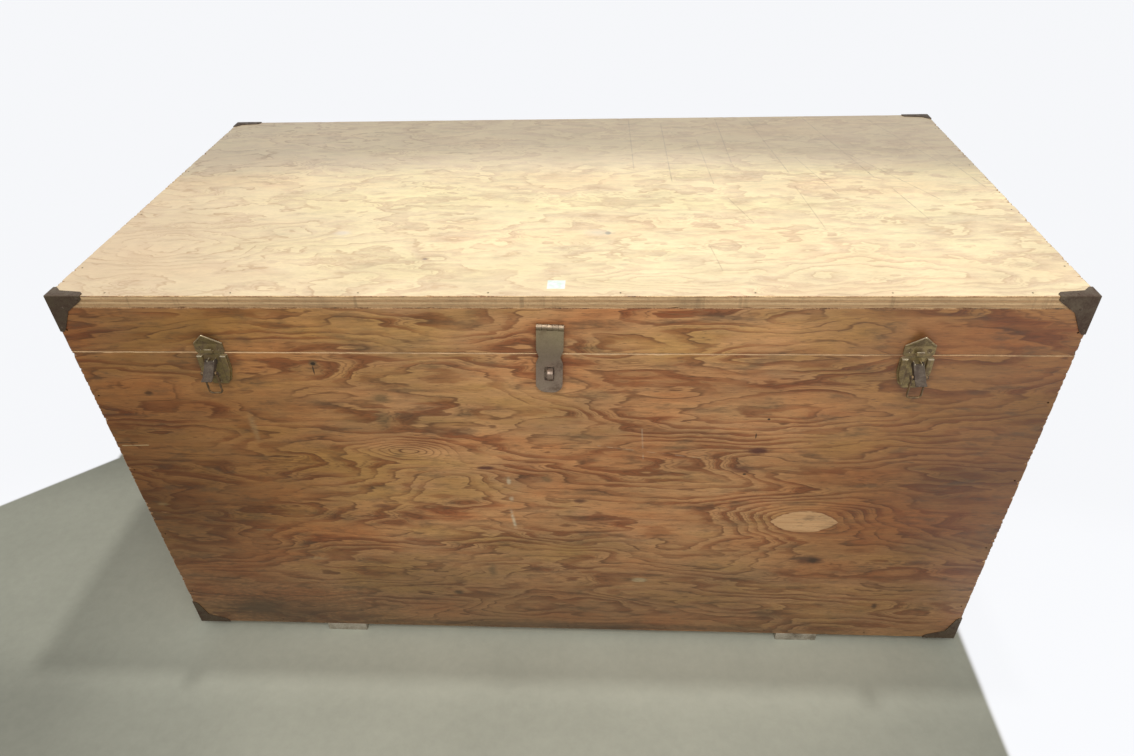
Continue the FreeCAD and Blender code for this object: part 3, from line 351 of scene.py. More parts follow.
def build_rotary_grain(name):
    """Growth rings as a peeled veneer shows them: slow contours with one hard edge."""
    w, given, out = group_tree(
        name,
        {"Vector": ORIGIN, "Lift": 0.0, "Bands": 9.0, "Seed": 0.0, "Islands": 2.0, "Fill": 0.3, "Least": 0.1},
        values=("Ring", "Late", "Line", "Fibre", "Streak", "Tone"),
    )
    place = w.vector("ADD", given["Vector"], w.add("CombineXYZ", {2: given["Seed"]})[0])

    # Swells make the figure, and ripples and a tremble roughen its contours
    swell = w.noise(place, (2.5, 9.5), 2.0, 0.45, 0.25)
    ripple = w.noise(place, (9.0, 52.0), 3.0, 0.5, 0.3)
    tremble = w.noise(place, (40.0, 170.0), 1.0)
    field = w.plus(w.times(swell, given["Bands"]), given["Lift"])
    field = w.sway(w.sway(field, ripple, given["Islands"]), tremble, 0.16)
    ring = w.math("FRACT", field)
    w.feed(out["Ring"], ring)

    # Latewood darkens slowly towards the end of a ring and stops at once
    strength = w.noise(w.vector("ADD", place, (3.1, 0.7, 0.0)), (5.0, 22.0), 3.0, 0.55)
    kept = w.ease(strength, 0.36, 0.62, given["Least"], 1.0)
    fall = w.ease(ring, 0.86, 1.0, 1.0, 0.0)
    slope = w.times(w.ease(ring, 0.1, 0.82, 0.0, 0.8), fall)
    band = w.times(w.ease(ring, 0.46, 0.58), fall)
    w.feed(out["Late"], w.times(w.add("Mix", {0: given["Fill"], 2: slope, 3: band})[0], kept))

    # One bold line ends a ring, and finer ones run inside it here and there
    bold = w.times(w.ease(ring, 0.74, 0.92), w.ease(ring, 0.93, 1.0, 1.0, 0.0))
    bold = w.times(bold, w.span(w.noise(place, (9.0, 50.0), 2.0), 0.38, 0.62, 0.12, 1.0))
    inner = w.math("FRACT", w.times(field, 4.0))
    inner = w.times(w.ease(inner, 0.4, 0.8), w.ease(inner, 0.8, 1.0, 1.0, 0.0))
    inner = w.times(inner, w.ease(strength, 0.5, 0.62, 0.0, 0.7))
    w.feed(out["Line"], w.math("MAXIMUM", bold, inner))

    w.feed(out["Fibre"], w.noise(place, (60.0, 700.0), 3.0, 0.7))
    w.feed(out["Streak"], w.noise(place, (12.0, 150.0), 5.0, 0.66))
    w.feed(out["Tone"], w.noise(place, (3.4, 13.0), 3.0, 0.6))


def build_ring_eye(name):
    """A swelling of the veneer that makes closed rings or a cathedral around its middle."""
    w, given, out = group_tree(
        name, {"Vector": ORIGIN, "Middle": ORIGIN, "Reach": (0.1, 0.03, 1.0), "Rise": 4.0}, values=("Lift",)
    )
    reach = oval_reach(w, given)
    fall = w.math("POWER", 2.71828, w.times(w.times(reach, reach), -1.0))
    w.feed(out["Lift"], w.times(fall, given["Rise"]))


def build_blot(name):
    """A soft-edged oval mark: a knot, a stain, a nail's rust, a bare spot, or a patch of painted shade."""
    w, given, out = group_tree(
        name,
        {"Vector": ORIGIN, "Middle": ORIGIN, "Reach": (0.01, 0.005, 1.0), "Softness": 0.5, "Ragged": 0.6},
        values=("Mask",),
    )
    fray = w.noise(given["Vector"], (90.0, 300.0), 3.0, 0.6)
    reach = w.sway(oval_reach(w, given), fray, given["Ragged"])
    w.feed(out["Mask"], w.ease(reach, w.minus(1.0, given["Softness"]), 1.0, 1.0, 0.0))


def build_scratch(name):
    """A thin broken line between two points."""
    w, given, out = group_tree(
        name,
        {"Vector": ORIGIN, "Start": ORIGIN, "End": (0.1, 0.0, 0.0), "Width": 0.0008, "Broken": 0.5},
        values=("Mask",),
    )
    run = w.vector("SUBTRACT", given["End"], given["Start"])
    away = w.vector("SUBTRACT", w.vector("MULTIPLY", given["Vector"], FLAT), given["Start"])
    share = w.over(w.gauge("DOT_PRODUCT", away, run), w.gauge("DOT_PRODUCT", run, run), clamp=True)
    foot = w.add("VectorMath", {0: run, "Scale": share}, operation="SCALE")[0]
    line = w.minus(1.0, w.over(w.gauge("DISTANCE", away, foot), given["Width"], clamp=True))
    skips = w.ease(w.noise(given["Vector"], (60.0, 60.0), 3.0, 0.6), 0.42, 0.56)
    kept = w.math("MULTIPLY_ADD", w.minus(skips, 1.0), given["Broken"], 1.0)
    w.feed(out["Mask"], w.times(line, kept))


def build_handling(name):
    """Dirt, faded patches and pale scuffs that years of use leave on wood."""
    w, given, out = group_tree(
        name,
        {"Colour": (0.5, 0.5, 0.5, 1.0), "Vector": ORIGIN, "Dirt": (0.1, 0.1, 0.1, 1.0), "Amount": 0.4,
         "Scuff": (0.8, 0.7, 0.5, 1.0), "Scuffs": 0.4},
        colours=("Colour",), values=("Wear",),
    )
    place, amount = given["Vector"], given["Amount"]
    cloud = w.noise(place, 4.5, 5.0, 0.62)
    grain = w.noise(place, (30.0, 240.0), 4.0, 0.7)
    smudge = w.noise(w.vector("ADD", place, (5.0, 2.0, 0.0)), (14.0, 46.0), 4.0, 0.65)
    fleck = w.noise(place, (70.0, 620.0), 3.0, 0.6)
    soil = w.times(w.times(w.ease(cloud, 0.46, 0.74), w.span(grain, 0.3, 0.65)), amount)
    soiled = w.blend(soil, given["Colour"], given["Dirt"])
    for field, strength in ((w.ease(smudge, 0.52, 0.7), 1.1), (w.ease(fleck, 0.58, 0.7), 1.2)):
        soiled = w.blend(w.times(w.times(field, amount), strength), soiled, given["Dirt"])
    nick = w.ease(w.noise(place, (24.0, 170.0), 3.0, 0.7), 0.68, 0.76)
    patch = w.span(w.noise(place, 9.0, 3.0), 0.45, 0.6)
    scuffed = w.times(w.times(nick, patch), given["Scuffs"])
    w.feed(out["Colour"], w.blend(scuffed, soiled, given["Scuff"]))
    w.feed(out["Wear"], w.math("MAXIMUM", scuffed, w.times(cloud, 0.4)))


def build_ply_stack(name):
    """The plies and glue lines that a cut edge shows."""
    w, given, out = group_tree(
        name,
        {"Depth": 0.0, "Vector": ORIGIN, "Long Grain": (0.6, 0.5, 0.3, 1.0),
         "End Grain": (0.4, 0.3, 0.2, 1.0), "Glue": (0.1, 0.05, 0.02, 1.0), "Plies": 5.0, "Joints": 0.8},
        colours=("Colour",), values=("Height",),
    )
    drift = w.times(w.minus(w.noise(given["Vector"], 14.0, 2.0), 0.5), 0.5)
    odd = w.math("PINGPONG", w.plus(w.times(given["Depth"], given["Plies"]), drift), 1.0)
    streak = w.noise(given["Vector"], (40.0, 40.0, 1100.0), 3.0, 0.6)
    pores = w.noise(given["Vector"], 420.0, 3.0, 0.7)
    tint = w.blend(w.ease(odd, 0.35, 0.6), given["Long Grain"], given["End Grain"])
    tint = w.blend(w.span(streak, 0.35, 0.7, 0.0, 0.4), tint, given["Glue"])
    dots = w.times(w.times(w.span(pores, 0.5, 0.7), 0.4), given["Joints"])
    tint = w.blend(dots, tint, given["Glue"])
    joint = w.ease(w.math("ABSOLUTE", w.minus(odd, 0.48)), 0.02, 0.1, 1.0, 0.0)
    joint = w.times(joint, given["Joints"])
    w.feed(out["Colour"], w.blend(joint, tint, given["Glue"]))
    w.feed(out["Height"], w.minus(1.0, w.math("MAXIMUM", joint, w.span(pores, 0.5, 0.75))))


def build_patina(name):
    """Bare metal that shows through tarnish, with pits and fine rub marks."""
    w, given, out = group_tree(
        name,
        {"Vector": ORIGIN, "Metal": (0.6, 0.6, 0.6, 1.0), "Tarnish": (0.1, 0.1, 0.1, 1.0), "Cover": 0.5,
         "Grain": 90.0},
        colours=("Colour",), values=("Roughness", "Height", "Mask"),
    )
    cloud = w.noise(given["Vector"], given["Grain"], 5.0, 0.65, 0.4)
    fine = w.noise(given["Vector"], w.times(given["Grain"], 7.0), 3.0, 0.7)
    edge = w.minus(0.95, w.times(given["Cover"], 0.9))
    mask = w.ease(w.sway(cloud, fine, 0.35), w.minus(edge, 0.24), w.plus(edge, 0.24))
    w.feed(out["Colour"], w.blend(mask, given["Metal"], given["Tarnish"]))
    w.feed(out["Roughness"], w.math("MULTIPLY_ADD", mask, 0.34, w.span(fine, 0.3, 0.7, 0.26, 0.4)))
    w.feed(out["Height"], w.math("MULTIPLY_ADD", mask, 0.5, fine))
    w.feed(out["Mask"], mask)


GRAIN, EYE, BLOT, SCRATCH = "Rotary Grain", "Ring Eye", "Blot", "Scratch Line"
HANDLING, PLY_STACK, PATINA = "Handling", "Ply Stack", "Patina"
BUILDERS = {
    GRAIN: build_rotary_grain,
    EYE: build_ring_eye,
    BLOT: build_blot,
    SCRATCH: build_scratch,
    HANDLING: build_handling,
    PLY_STACK: build_ply_stack,
    PATINA: build_patina,
}


def effect(w, name, values):
    """The outputs of a shared effect placed in a material; it is built on first use."""
    if name not in bpy.data.node_groups:
        BUILDERS[name](name)
    return w.group(bpy.data.node_groups[name], values)


def oval(w, name, place, middle, reach, **values):
    """A shared effect that fills an oval, given in a board's two directions."""
    return effect(w, name, {"Vector": place, "Middle": (*middle, 0), "Reach": (*reach, 1), **values})[0]


# Marks on the boards, in metres along a board and down or back from its first edge


# Places of ring eyes: middle, reach and rise
FRONT_EYES = (
    ((-0.207, 0.241), (0.062, 0.015), 7.0),
    ((-0.1564, 0.2913), (0.16, 0.035), 2.5),
    ((0.339, 0.3640), (0.092, 0.036), 6.0),
    ((0.3387, 0.3565), (0.15, 0.05), 2.5),
    ((0.475, 0.3994), (0.14, 0.05), 3.0),
    ((-0.5202, 0.3651), (0.035, 0.012), 1.5),
    ((0.4024, 0.6038), (0.08, 0.03), 3.0),
    ((0.20, 0.17), (0.22, 0.07), -3.0),
)
BACK_EYES = (
    ((0.1, 0.3), (0.2, 0.05), 6.0),
    ((-0.4, 0.45), (0.15, 0.04), 5.0),
)
END_EYES = (
    ((0.08, 0.38), (0.12, 0.04), 5.0),
)
TOP_EYES = (
    ((0.3693, 0.0482), (0.17, 0.045), 5.0),
    ((-0.5262, 0.1314), (0.10, 0.05), 5.0),
    ((-0.3712, 0.1672), (0.07, 0.030), 3.0),
    ((0.1024, 0.0356), (0.09, 0.018), 4.0),
)

# Single features: middle and reach, or half width and half length
RING_FIGURE = (-0.207, 0.241), (0.075, 0.022)
BOAT_PATCH = (0.3390, 0.3671), (0.0480, 0.0215)
PAPER_SCRAP = (0.0015, 0.0272), (0.0108, 0.0100)

# Blots: middle, reach, colour, strength, softness and raggedness
PLUM, SMOKE, SOOT, PALE = paint(92, 52, 40), paint(104, 86, 60), paint(52, 38, 28), paint(214, 186, 140)
CHALK, MUD_AND_SHADE, ASH, TAN = paint(210, 192, 160), paint(78, 66, 50), paint(120, 116, 104), paint(206, 180, 146)
FRONT_BLOTS = (
    # Knots, stains and bare spots
    ((-0.3045, 0.0964), (0.008, 0.007), SMOKE, 0.8, 0.7, 0.7),
    ((-0.3045, 0.0975), (0.0038, 0.003), SOOT, 1.0, 0.4, 0.3),
    ((-0.3059, 0.1072), (0.0013, 0.009), SOOT, 0.85, 0.5, 0.4),
    ((-0.227, 0.1515), (0.018, 0.011), SMOKE, 0.6, 0.8, 0.8),
    ((-0.2299, 0.1864), (0.013, 0.022), SMOKE, 0.55, 0.8, 0.8),
    ((-0.1026, 0.2711), (0.017, 0.0045), PLUM, 0.9, 0.6, 0.7),
    ((-0.02, 0.2908), (0.011, 0.009), SMOKE, 0.6, 0.8, 0.8),
    ((0.0246, 0.3318), (0.013, 0.006), PLUM, 0.8, 0.7, 0.8),
    ((-0.2594, 0.3474), (0.018, 0.006), PLUM, 0.6, 0.7, 0.9),
    ((-0.2148, 0.4036), (0.014, 0.005), SOOT, 0.55, 0.8, 0.9),
    ((-0.111, 0.4831), (0.009, 0.022), SMOKE, 0.6, 0.9, 0.8),
    ((-0.169, 0.537), (0.011, 0.008), SOOT, 0.8, 0.8, 0.8),
    ((0.2675, 0.1807), (0.0025, 0.002), SOOT, 1.0, 0.5, 0.3),
    ((0.2544, 0.2088), (0.0012, 0.006), SOOT, 0.85, 0.5, 0.5),
    ((0.2612, 0.2345), (0.022, 0.0085), PLUM, 0.95, 0.7, 0.9),
    ((0.242, 0.268), (0.022, 0.010), PLUM, 0.75, 0.8, 1.0),
    ((0.2466, 0.2766), (0.003, 0.002), SOOT, 1.0, 0.5, 0.3),
    ((0.3560, 0.4469), (0.034, 0.013), PLUM, 0.75, 0.8, 1.0),
    ((0.3636, 0.4475), (0.012, 0.009), SOOT, 0.9, 0.8, 0.7),
    ((0.1114, 0.4995), (0.014, 0.0055), PALE, 0.9, 0.4, 0.8),
    ((0.472, 0.5498), (0.006, 0.011), SOOT, 0.8, 0.8, 0.7),
    ((-0.5321, 0.1454), (0.008, 0.005), SOOT, 0.8, 0.7, 0.7),
    ((-0.5833, 0.3503), (0.010, 0.004), PALE, 0.8, 0.6, 0.8),
    ((-0.0732, 0.2948), (0.0042, 0.009), CHALK, 0.7, 0.9, 1.4),
    ((-0.0717, 0.3295), (0.0050, 0.006), CHALK, 0.6, 0.9, 1.6),
    ((-0.4449, 0.4017), (0.022, 0.0018), PALE, 0.6, 0.6, 0.8),
    ((-0.3796, 0.4627), (0.026, 0.006), PALE, 0.35, 0.8, 1.2),
    ((-0.4079, 0.2028), (0.007, 0.034), paint(206, 180, 142), 0.42, 0.9, 1.6),
    # Dirt along the foot, partly painted shade
    ((-0.4965, 0.5848), (0.055, 0.035), SMOKE, 0.75, 0.8, 0.9),
    ((0.0, 0.615), (0.62, 0.012), MUD_AND_SHADE, 0.55, 0.9, 1.0),
    ((-0.44, 0.59), (0.24, 0.09), paint(72, 60, 44), 0.6, 1.0, 1.2),
    ((0.0194, 0.6209), (0.10, 0.010), MUD_AND_SHADE, 0.6, 0.8, 1.2),
    # Grime about the latches and the hasp, with painted shadow round them
    ((-0.4295, 0.090), (0.034, 0.056), SOOT, 0.62, 0.7, 0.5),
    ((0.4295, 0.090), (0.034, 0.056), SOOT, 0.62, 0.7, 0.5),
    ((-0.0054, 0.090), (0.030, 0.064), PLUM, 0.45, 0.7, 0.6),
    # Painted shade at both ends; darker towards the foot, partly dirt and partly painted shade
    ((-0.62, 0.34), (0.36, 0.44), paint(84, 50, 22), 0.62, 1.0, 0.3),
    ((0.66, 0.30), (0.48, 0.52), paint(92, 52, 20), 0.68, 1.0, 0.3),
    ((-0.1, 0.66), (1.4, 0.36), paint(80, 64, 48), 0.6, 1.0, 0.4),
)
TOP_BLOTS = (
    # Nail holes and faint stains
    ((0.0618, 0.1616), (0.0052, 0.0060), ASH, 0.9, 0.6, 0.3),
    ((0.050, 0.163), (0.030, 0.014), paint(216, 206, 184), 0.5, 0.9, 0.8),
    ((-0.1674, 0.0911), (0.0046, 0.004), paint(120, 108, 104), 0.75, 0.7, 0.5),
    ((-0.2927, 0.1646), (0.016, 0.010), paint(232, 222, 214), 0.5, 0.9, 0.8),
    ((-0.4304, 0.0779), (0.035, 0.012), TAN, 0.7, 0.6, 0.9),
    ((-0.3616, 0.0847), (0.012, 0.006), TAN, 0.7, 0.6, 0.6),
    ((0.4579, 0.113), (0.06, 0.03), TAN, 0.35, 0.9, 0.9),
    # Painted shade at the left and along the front
    ((-0.62, 0.12), (0.46, 0.44), TAN, 0.8, 1.0, 0.4),
    ((0.0, 0.0), (1.2, 0.13), TAN, 0.35, 1.0, 0.5),
)

# Scratches: start, end, width, colour, strength and how broken they are
LIGHT_SCRATCH, CRACK = paint(226, 212, 180), paint(62, 40, 26)
FRONT_SCRATCHES = (
    ((-0.074, 0.3519), (-0.0693, 0.389), 0.0034, LIGHT_SCRATCH, 0.7, 0.8),
    ((0.0502, 0.2288), (0.1854, 0.2482), 0.0012, LIGHT_SCRATCH, 0.3, 1.0),
    ((-0.0535, 0.2343), (0.0865, 0.2334), 0.0009, CRACK, 0.8, 0.8),
    ((0.1073, 0.1994), (0.1103, 0.2509), 0.0016, LIGHT_SCRATCH, 0.25, 1.0),
    ((-0.6137, 0.2325), (-0.5787, 0.2317), 0.0014, CRACK, 0.95, 0.2),
    ((-0.6021, 0.2374), (-0.5645, 0.2359), 0.0011, LIGHT_SCRATCH, 0.8, 0.4),
)
LID_CUTS = (
    # Diagonal cuts on the right and back of the lid: start, end and depth
    (0.095, 0.60, 0.100, 0.38, 0.8), (0.150, 0.58, 0.155, 0.33, 0.8), (0.205, 0.50, 0.215, 0.32, 0.7),
    (0.245, 0.60, 0.250, 0.40, 0.8), (0.300, 0.60, 0.330, 0.36, 0.8), (0.350, 0.42, 0.385, 0.28, 0.6),
    (0.395, 0.60, 0.450, 0.34, 0.9), (0.430, 0.44, 0.520, 0.26, 0.8), (0.500, 0.60, 0.560, 0.40, 0.8),
    (0.230, 0.27, 0.255, 0.19, 0.6), (0.330, 0.31, 0.345, 0.17, 0.5), (0.465, 0.30, 0.485, 0.20, 0.7),
    (0.190, 0.13, 0.200, 0.06, 0.5), (0.560, 0.50, 0.595, 0.30, 0.6),
)
TOP_SCRATCHES = (
    *(((x, y), (end_x, end_y), 0.0013, paint(128, 104, 84), 0.75 * depth, 0.55)
      for x, y, end_x, end_y, depth in LID_CUTS),
    ((0.13, 0.115), (0.30, 0.135), 0.0011, paint(168, 142, 112), 0.6, 0.7),
)


def from_middle(w, parts, middle, half):
    """How near a place is to a mark's middle, across and down, where 1 is the mark's edge."""
    return [w.math("ABSOLUTE", w.over(w.minus(parts[i], middle[i]), half[i])) for i in (0, 1)]


def front_marks(w, place, parts, grain, colour):
    """Painted shade on the upper sides, a ring figure with clear growth lines and an inlaid boat-shaped
    patch.
    """
    # Painted shade: the upper sides are made darker and redder
    side = w.ease(w.math("ABSOLUTE", w.minus(parts[0], 0.03)), 0.18, 0.46)
    side = w.times(side, w.ease(parts[1], 0.34, 0.56, 1.0, 0.0))
    colour = w.blend(side, colour, (0.84, 0.75, 0.58, 1.0), "MULTIPLY")

    growth = w.times(w.ease(grain["Ring"], 0.6, 0.86), w.span(grain["Ring"], 0.9, 1.0, 1.0, 0.0))
    figure = w.times(growth, oval(w, BLOT, place, *RING_FIGURE, Softness=0.9, Ragged=0.3))
    colour = w.blend(w.times(figure, 0.75), colour, rgba(wood().umber))

    across, down = from_middle(w, parts, *BOAT_PATCH)
    bow = w.minus(1.0, w.math("POWER", across, 2.4), clamp=True)
    inside = w.minus(w.sway(bow, w.noise(place, (60.0, 300.0), 2.0), 0.3), down)
    rim = w.times(w.span(inside, -0.1, 0.0), w.span(inside, 0.0, 0.1, 1.0, 0.0))
    streak = w.noise(place, (14.0, 260.0), 3.0, 0.6, 0.5)
    inlay = w.ramp(streak, [(0.3, paint(218, 173, 124)), (0.55, paint(206, 160, 112)),
                            (0.75, paint(178, 130, 86))])
    colour = w.blend(w.ease(inside, 0.0, 0.06), colour, inlay)
    return w.blend(w.times(rim, 0.35), colour, rgba(wood().umber))


def lid_marks(w, place, parts, grain, colour):
    """A paler, greyer back with flatter grain, painted to match where the lid lies in shade, clear growth
    lines on the left, and a blank scrap of white paper near the front.
    """
    # Painted shade: the back of the lid is made greyer, with flatter grain
    back = w.ease(parts[1], 0.34, 0.42, 0.0, 0.5)
    colour = w.blend(back, colour, rgba(paint(230, 208, 180)))
    left = w.span(parts[0], -0.1, -0.5, 0.15, 0.45)
    colour = w.blend(w.times(grain["Line"], left), colour, rgba(paint(160, 122, 82)))
    scrap = w.span(w.math("MAXIMUM", *from_middle(w, parts, *PAPER_SCRAP)), 0.94, 1.02, 1.0, 0.0)
    stain = w.noise(place, 130.0, 2.0)
    paper = w.ramp(stain, [(0.35, paint(206, 224, 206)), (0.6, paint(224, 230, 224))])
    return w.blend(scrap, colour, paper)


# Materials


def new_material(name):
    """A node material with its wiring, principled shader and object coordinates."""
    material = bpy.data.materials.new(name)
    material.use_nodes = True
    w = Wiring(material.node_tree)
    return material, w, material.node_tree.nodes["Principled BSDF"], w.add("TexCoord")["Object"]


def shared(name, build, *args, **settings):
    """A material by name, built on first use."""
    return bpy.data.materials.get(name) or build(name, *args, **settings)


def finish(w, shader, colour, rough, height, strength, distance):
    """Feed a shader its colour, roughness and relief."""
    w.feed(shader.inputs["Base Color"], colour)
    w.feed(shader.inputs["Roughness"], rough)
    bump = w.add("Bump", {"Strength": strength, "Distance": distance, "Height": height})
    w.feed(shader.inputs["Normal"], bump[0])


def board_place(w, place, order, origin):
    """Object coordinates in a board's own order, measured from an origin."""
    parts = w.parts(place)
    fields = []
    for axis, start in zip(order, origin):
        part = parts["XYZ".index(axis.upper())]
        fields.append(w.minus(part, start) if axis.islower() else w.minus(start, part))
    return w.add("CombineXYZ", dict(enumerate(fields)))[0]


def veneer(name, order, origin, tones, seed, bands=12.0, islands=2.6, fill=0.3, least=0.1, size=(1.0, 1.0),
           lean=0.0, eyes=(), blots=(), scratches=(), marks=None, dirt=0.45, rough=0.5, contrast=1.0,
           mottle=1.0, outline=0.7, cast_strength=1.0):
    """A sheet of peeled veneer; order is its along, across and depth axes, lower case growing with them."""
    material, w, shader, place = new_material(name)
    place = board_place(w, place, order, origin)
    parts = w.parts(place)
    light, late, line = tones

    lift = w.times(parts[1], lean)
    for middle, reach, rise in eyes:
        lift = w.plus(lift, oval(w, EYE, place, middle, reach, Rise=rise))
    grain = effect(w, GRAIN, {"Vector": w.stretch(place, *size), "Lift": lift, "Bands": bands, "Seed": seed,
                              "Islands": islands, "Fill": fill, "Least": least})
    colour = w.blend(w.times(grain["Late"], contrast), rgba(light), rgba(late))

    # The varnish has aged redder here, greener there, with a bluish film in places
    cast = w.noise(w.vector("ADD", place, (0.4, 0.9, seed)), (3.2, 10.0), 4.0, 0.62)
    film = w.noise(w.vector("ADD", place, (0.7, 0.2, seed)), (7.0, 24.0), 5.0, 0.66)
    for field, end, strength, tint in (
            (cast, 0.66, cast_strength, (1.0, 0.80, 0.70)),
            (cast, 0.36, cast_strength, (0.96, 1.0, 0.82)),
            (film, 0.68, 0.5 * cast_strength, (0.80, 0.88, 1.08))):
        colour = w.blend(w.span(field, 0.5, end, 0.0, strength), colour, rgba(tint), "MULTIPLY")
    colour = w.blend(w.times(grain["Line"], contrast * outline), colour, rgba(line))

    shade = w.span(grain["Fibre"], 0.3, 0.7, 1.0 - 0.14 * mottle, 1.0 + 0.14 * mottle)
    for field, dark, bright in (("Tone", 0.16, 0.18), ("Streak", 0.18, 0.14)):
        shade = w.times(shade, w.span(grain[field], 0.3, 0.7, 1.0 - dark * mottle, 1.0 + bright * mottle))
    colour = w.shade(colour, shade)

    for middle, reach, tint, strength, soft, ragged in blots:
        mask = oval(w, BLOT, place, middle, reach, Softness=soft, Ragged=ragged)
        colour = w.blend(w.times(mask, strength), colour, rgba(tint))
    for start, end, width, tint, strength, broken in scratches:
        mask = effect(w, SCRATCH, {"Vector": place, "Start": (*start, 0), "End": (*end, 0), "Width": width,
                                   "Broken": broken})["Mask"]
        colour = w.blend(w.times(mask, strength), colour, rgba(tint))
    if marks:
        colour = marks(w, place, parts, grain, colour)

    worn = effect(w, HANDLING, {"Colour": colour, "Vector": place, "Dirt": rgba(wood().grime), "Amount": dirt,
                                "Scuff": rgba(light), "Scuffs": 0.5})
    gloss = w.span(worn["Wear"], 0.0, 0.6, rough - 0.08, rough + 0.16)
    height = w.math("MULTIPLY_ADD", grain["Fibre"], 0.5, grain["Line"])
    finish(w, shader, worn["Colour"], gloss, height, 0.35, 0.0004)
    return material


def ply_edge(name, axis, start, seed, joints=0.8, cross=None, dirt=0.55):
    """The layered look of a board's cut edge; axis and start say where its thickness begins."""
    material, w, shader, place = new_material(name)
    settings = wood()
    depth = w.over(w.minus(w.parts(place)["XYZ".index(axis)], start), PLY)
    stack = effect(w, PLY_STACK, {"Depth": depth, "Vector": w.vector("ADD", place, (seed, 0, 0)),
                                  "Long Grain": rgba(settings.raw), "End Grain": rgba(cross or settings.core),
                                  "Glue": rgba(settings.glue), "Plies": 5.0, "Joints": joints})
    worn = effect(w, HANDLING, {"Colour": stack["Colour"], "Vector": place, "Dirt": rgba(settings.grime),
                                "Amount": dirt, "Scuff": rgba(settings.raw), "Scuffs": 0.6})
    finish(w, shader, worn["Colour"], 0.72, stack["Height"], 0.6, 0.0008)
    return material


def raw_arris(name, light, dark, pale_seam=False):
    """Bare splintered wood along an edge; pale_seam rubs it bright where the lid meets the body."""
    material, w, shader, place = new_material(name)
    level = w.sway(w.noise(place, 38.0, 4.0, 0.65), w.noise(place, 700.0, 2.0, 0.6), 0.5)
    colour = w.ramp(level, [(0.36, light), (0.6, dark), (0.75, wood().grime)])
    if pale_seam:
        parts = w.parts(place)
        near = w.math("ABSOLUTE", w.minus(parts[2], SEAM_Z - 0.0006))
        streak = w.noise(place, (16.0, 16.0), 3.0)
        seam = w.times(w.span(near, 0.0008, 0.0016, 1.0, 0.0), w.span(streak, 0.3, 0.5, 0.55, 1.0))
        seam = w.times(seam, w.span(parts[0], 0.05, 0.4, 1.0, 0.45))
        colour = w.blend(seam, colour, rgba(paint(214, 178, 134)))
    finish(w, shader, colour, 0.75, level, 0.5, 0.0005)
    return material


def aged_metal(name, bare, tarnish, cover, grain, metallic=1.0, low=0.0, bumps=0.35, rim=None, painted_sheen=None):
    """Metal under tarnish, with an optional painted highlight on upward rims and optional painted highlight
    and shade banded from its foot up.
    """
    material, w, shader, place = new_material(name)
    skin = effect(w, PATINA, {"Vector": place, "Metal": rgba(bare), "Tarnish": rgba(tarnish), "Cover": cover,
                              "Grain": grain})
    colour = skin["Colour"]
    if painted_sheen:
        # Painted highlight and shade, banded from the part's foot to its head
        foot, head, stops = painted_sheen
        colour = w.blend(1.0, colour, w.ramp(w.span(w.parts(place)[2], foot, head), stops), "MULTIPLY")
    # Painted highlight: faces that look up are lightened towards the rim colour
    if rim:
        up = w.parts(w.add("NewGeometry")["Normal"])[2]
        colour = w.blend(w.ease(up, 0.25, 0.7, 0.0, 0.75), colour, rgba(rim))
    w.feed(shader.inputs["Metallic"], w.span(skin["Mask"], 0.0, 1.0, metallic, metallic * 0.35))
    finish(w, shader, colour, w.plus(skin["Roughness"], low), skin["Height"], bumps, 0.0003)
    return material


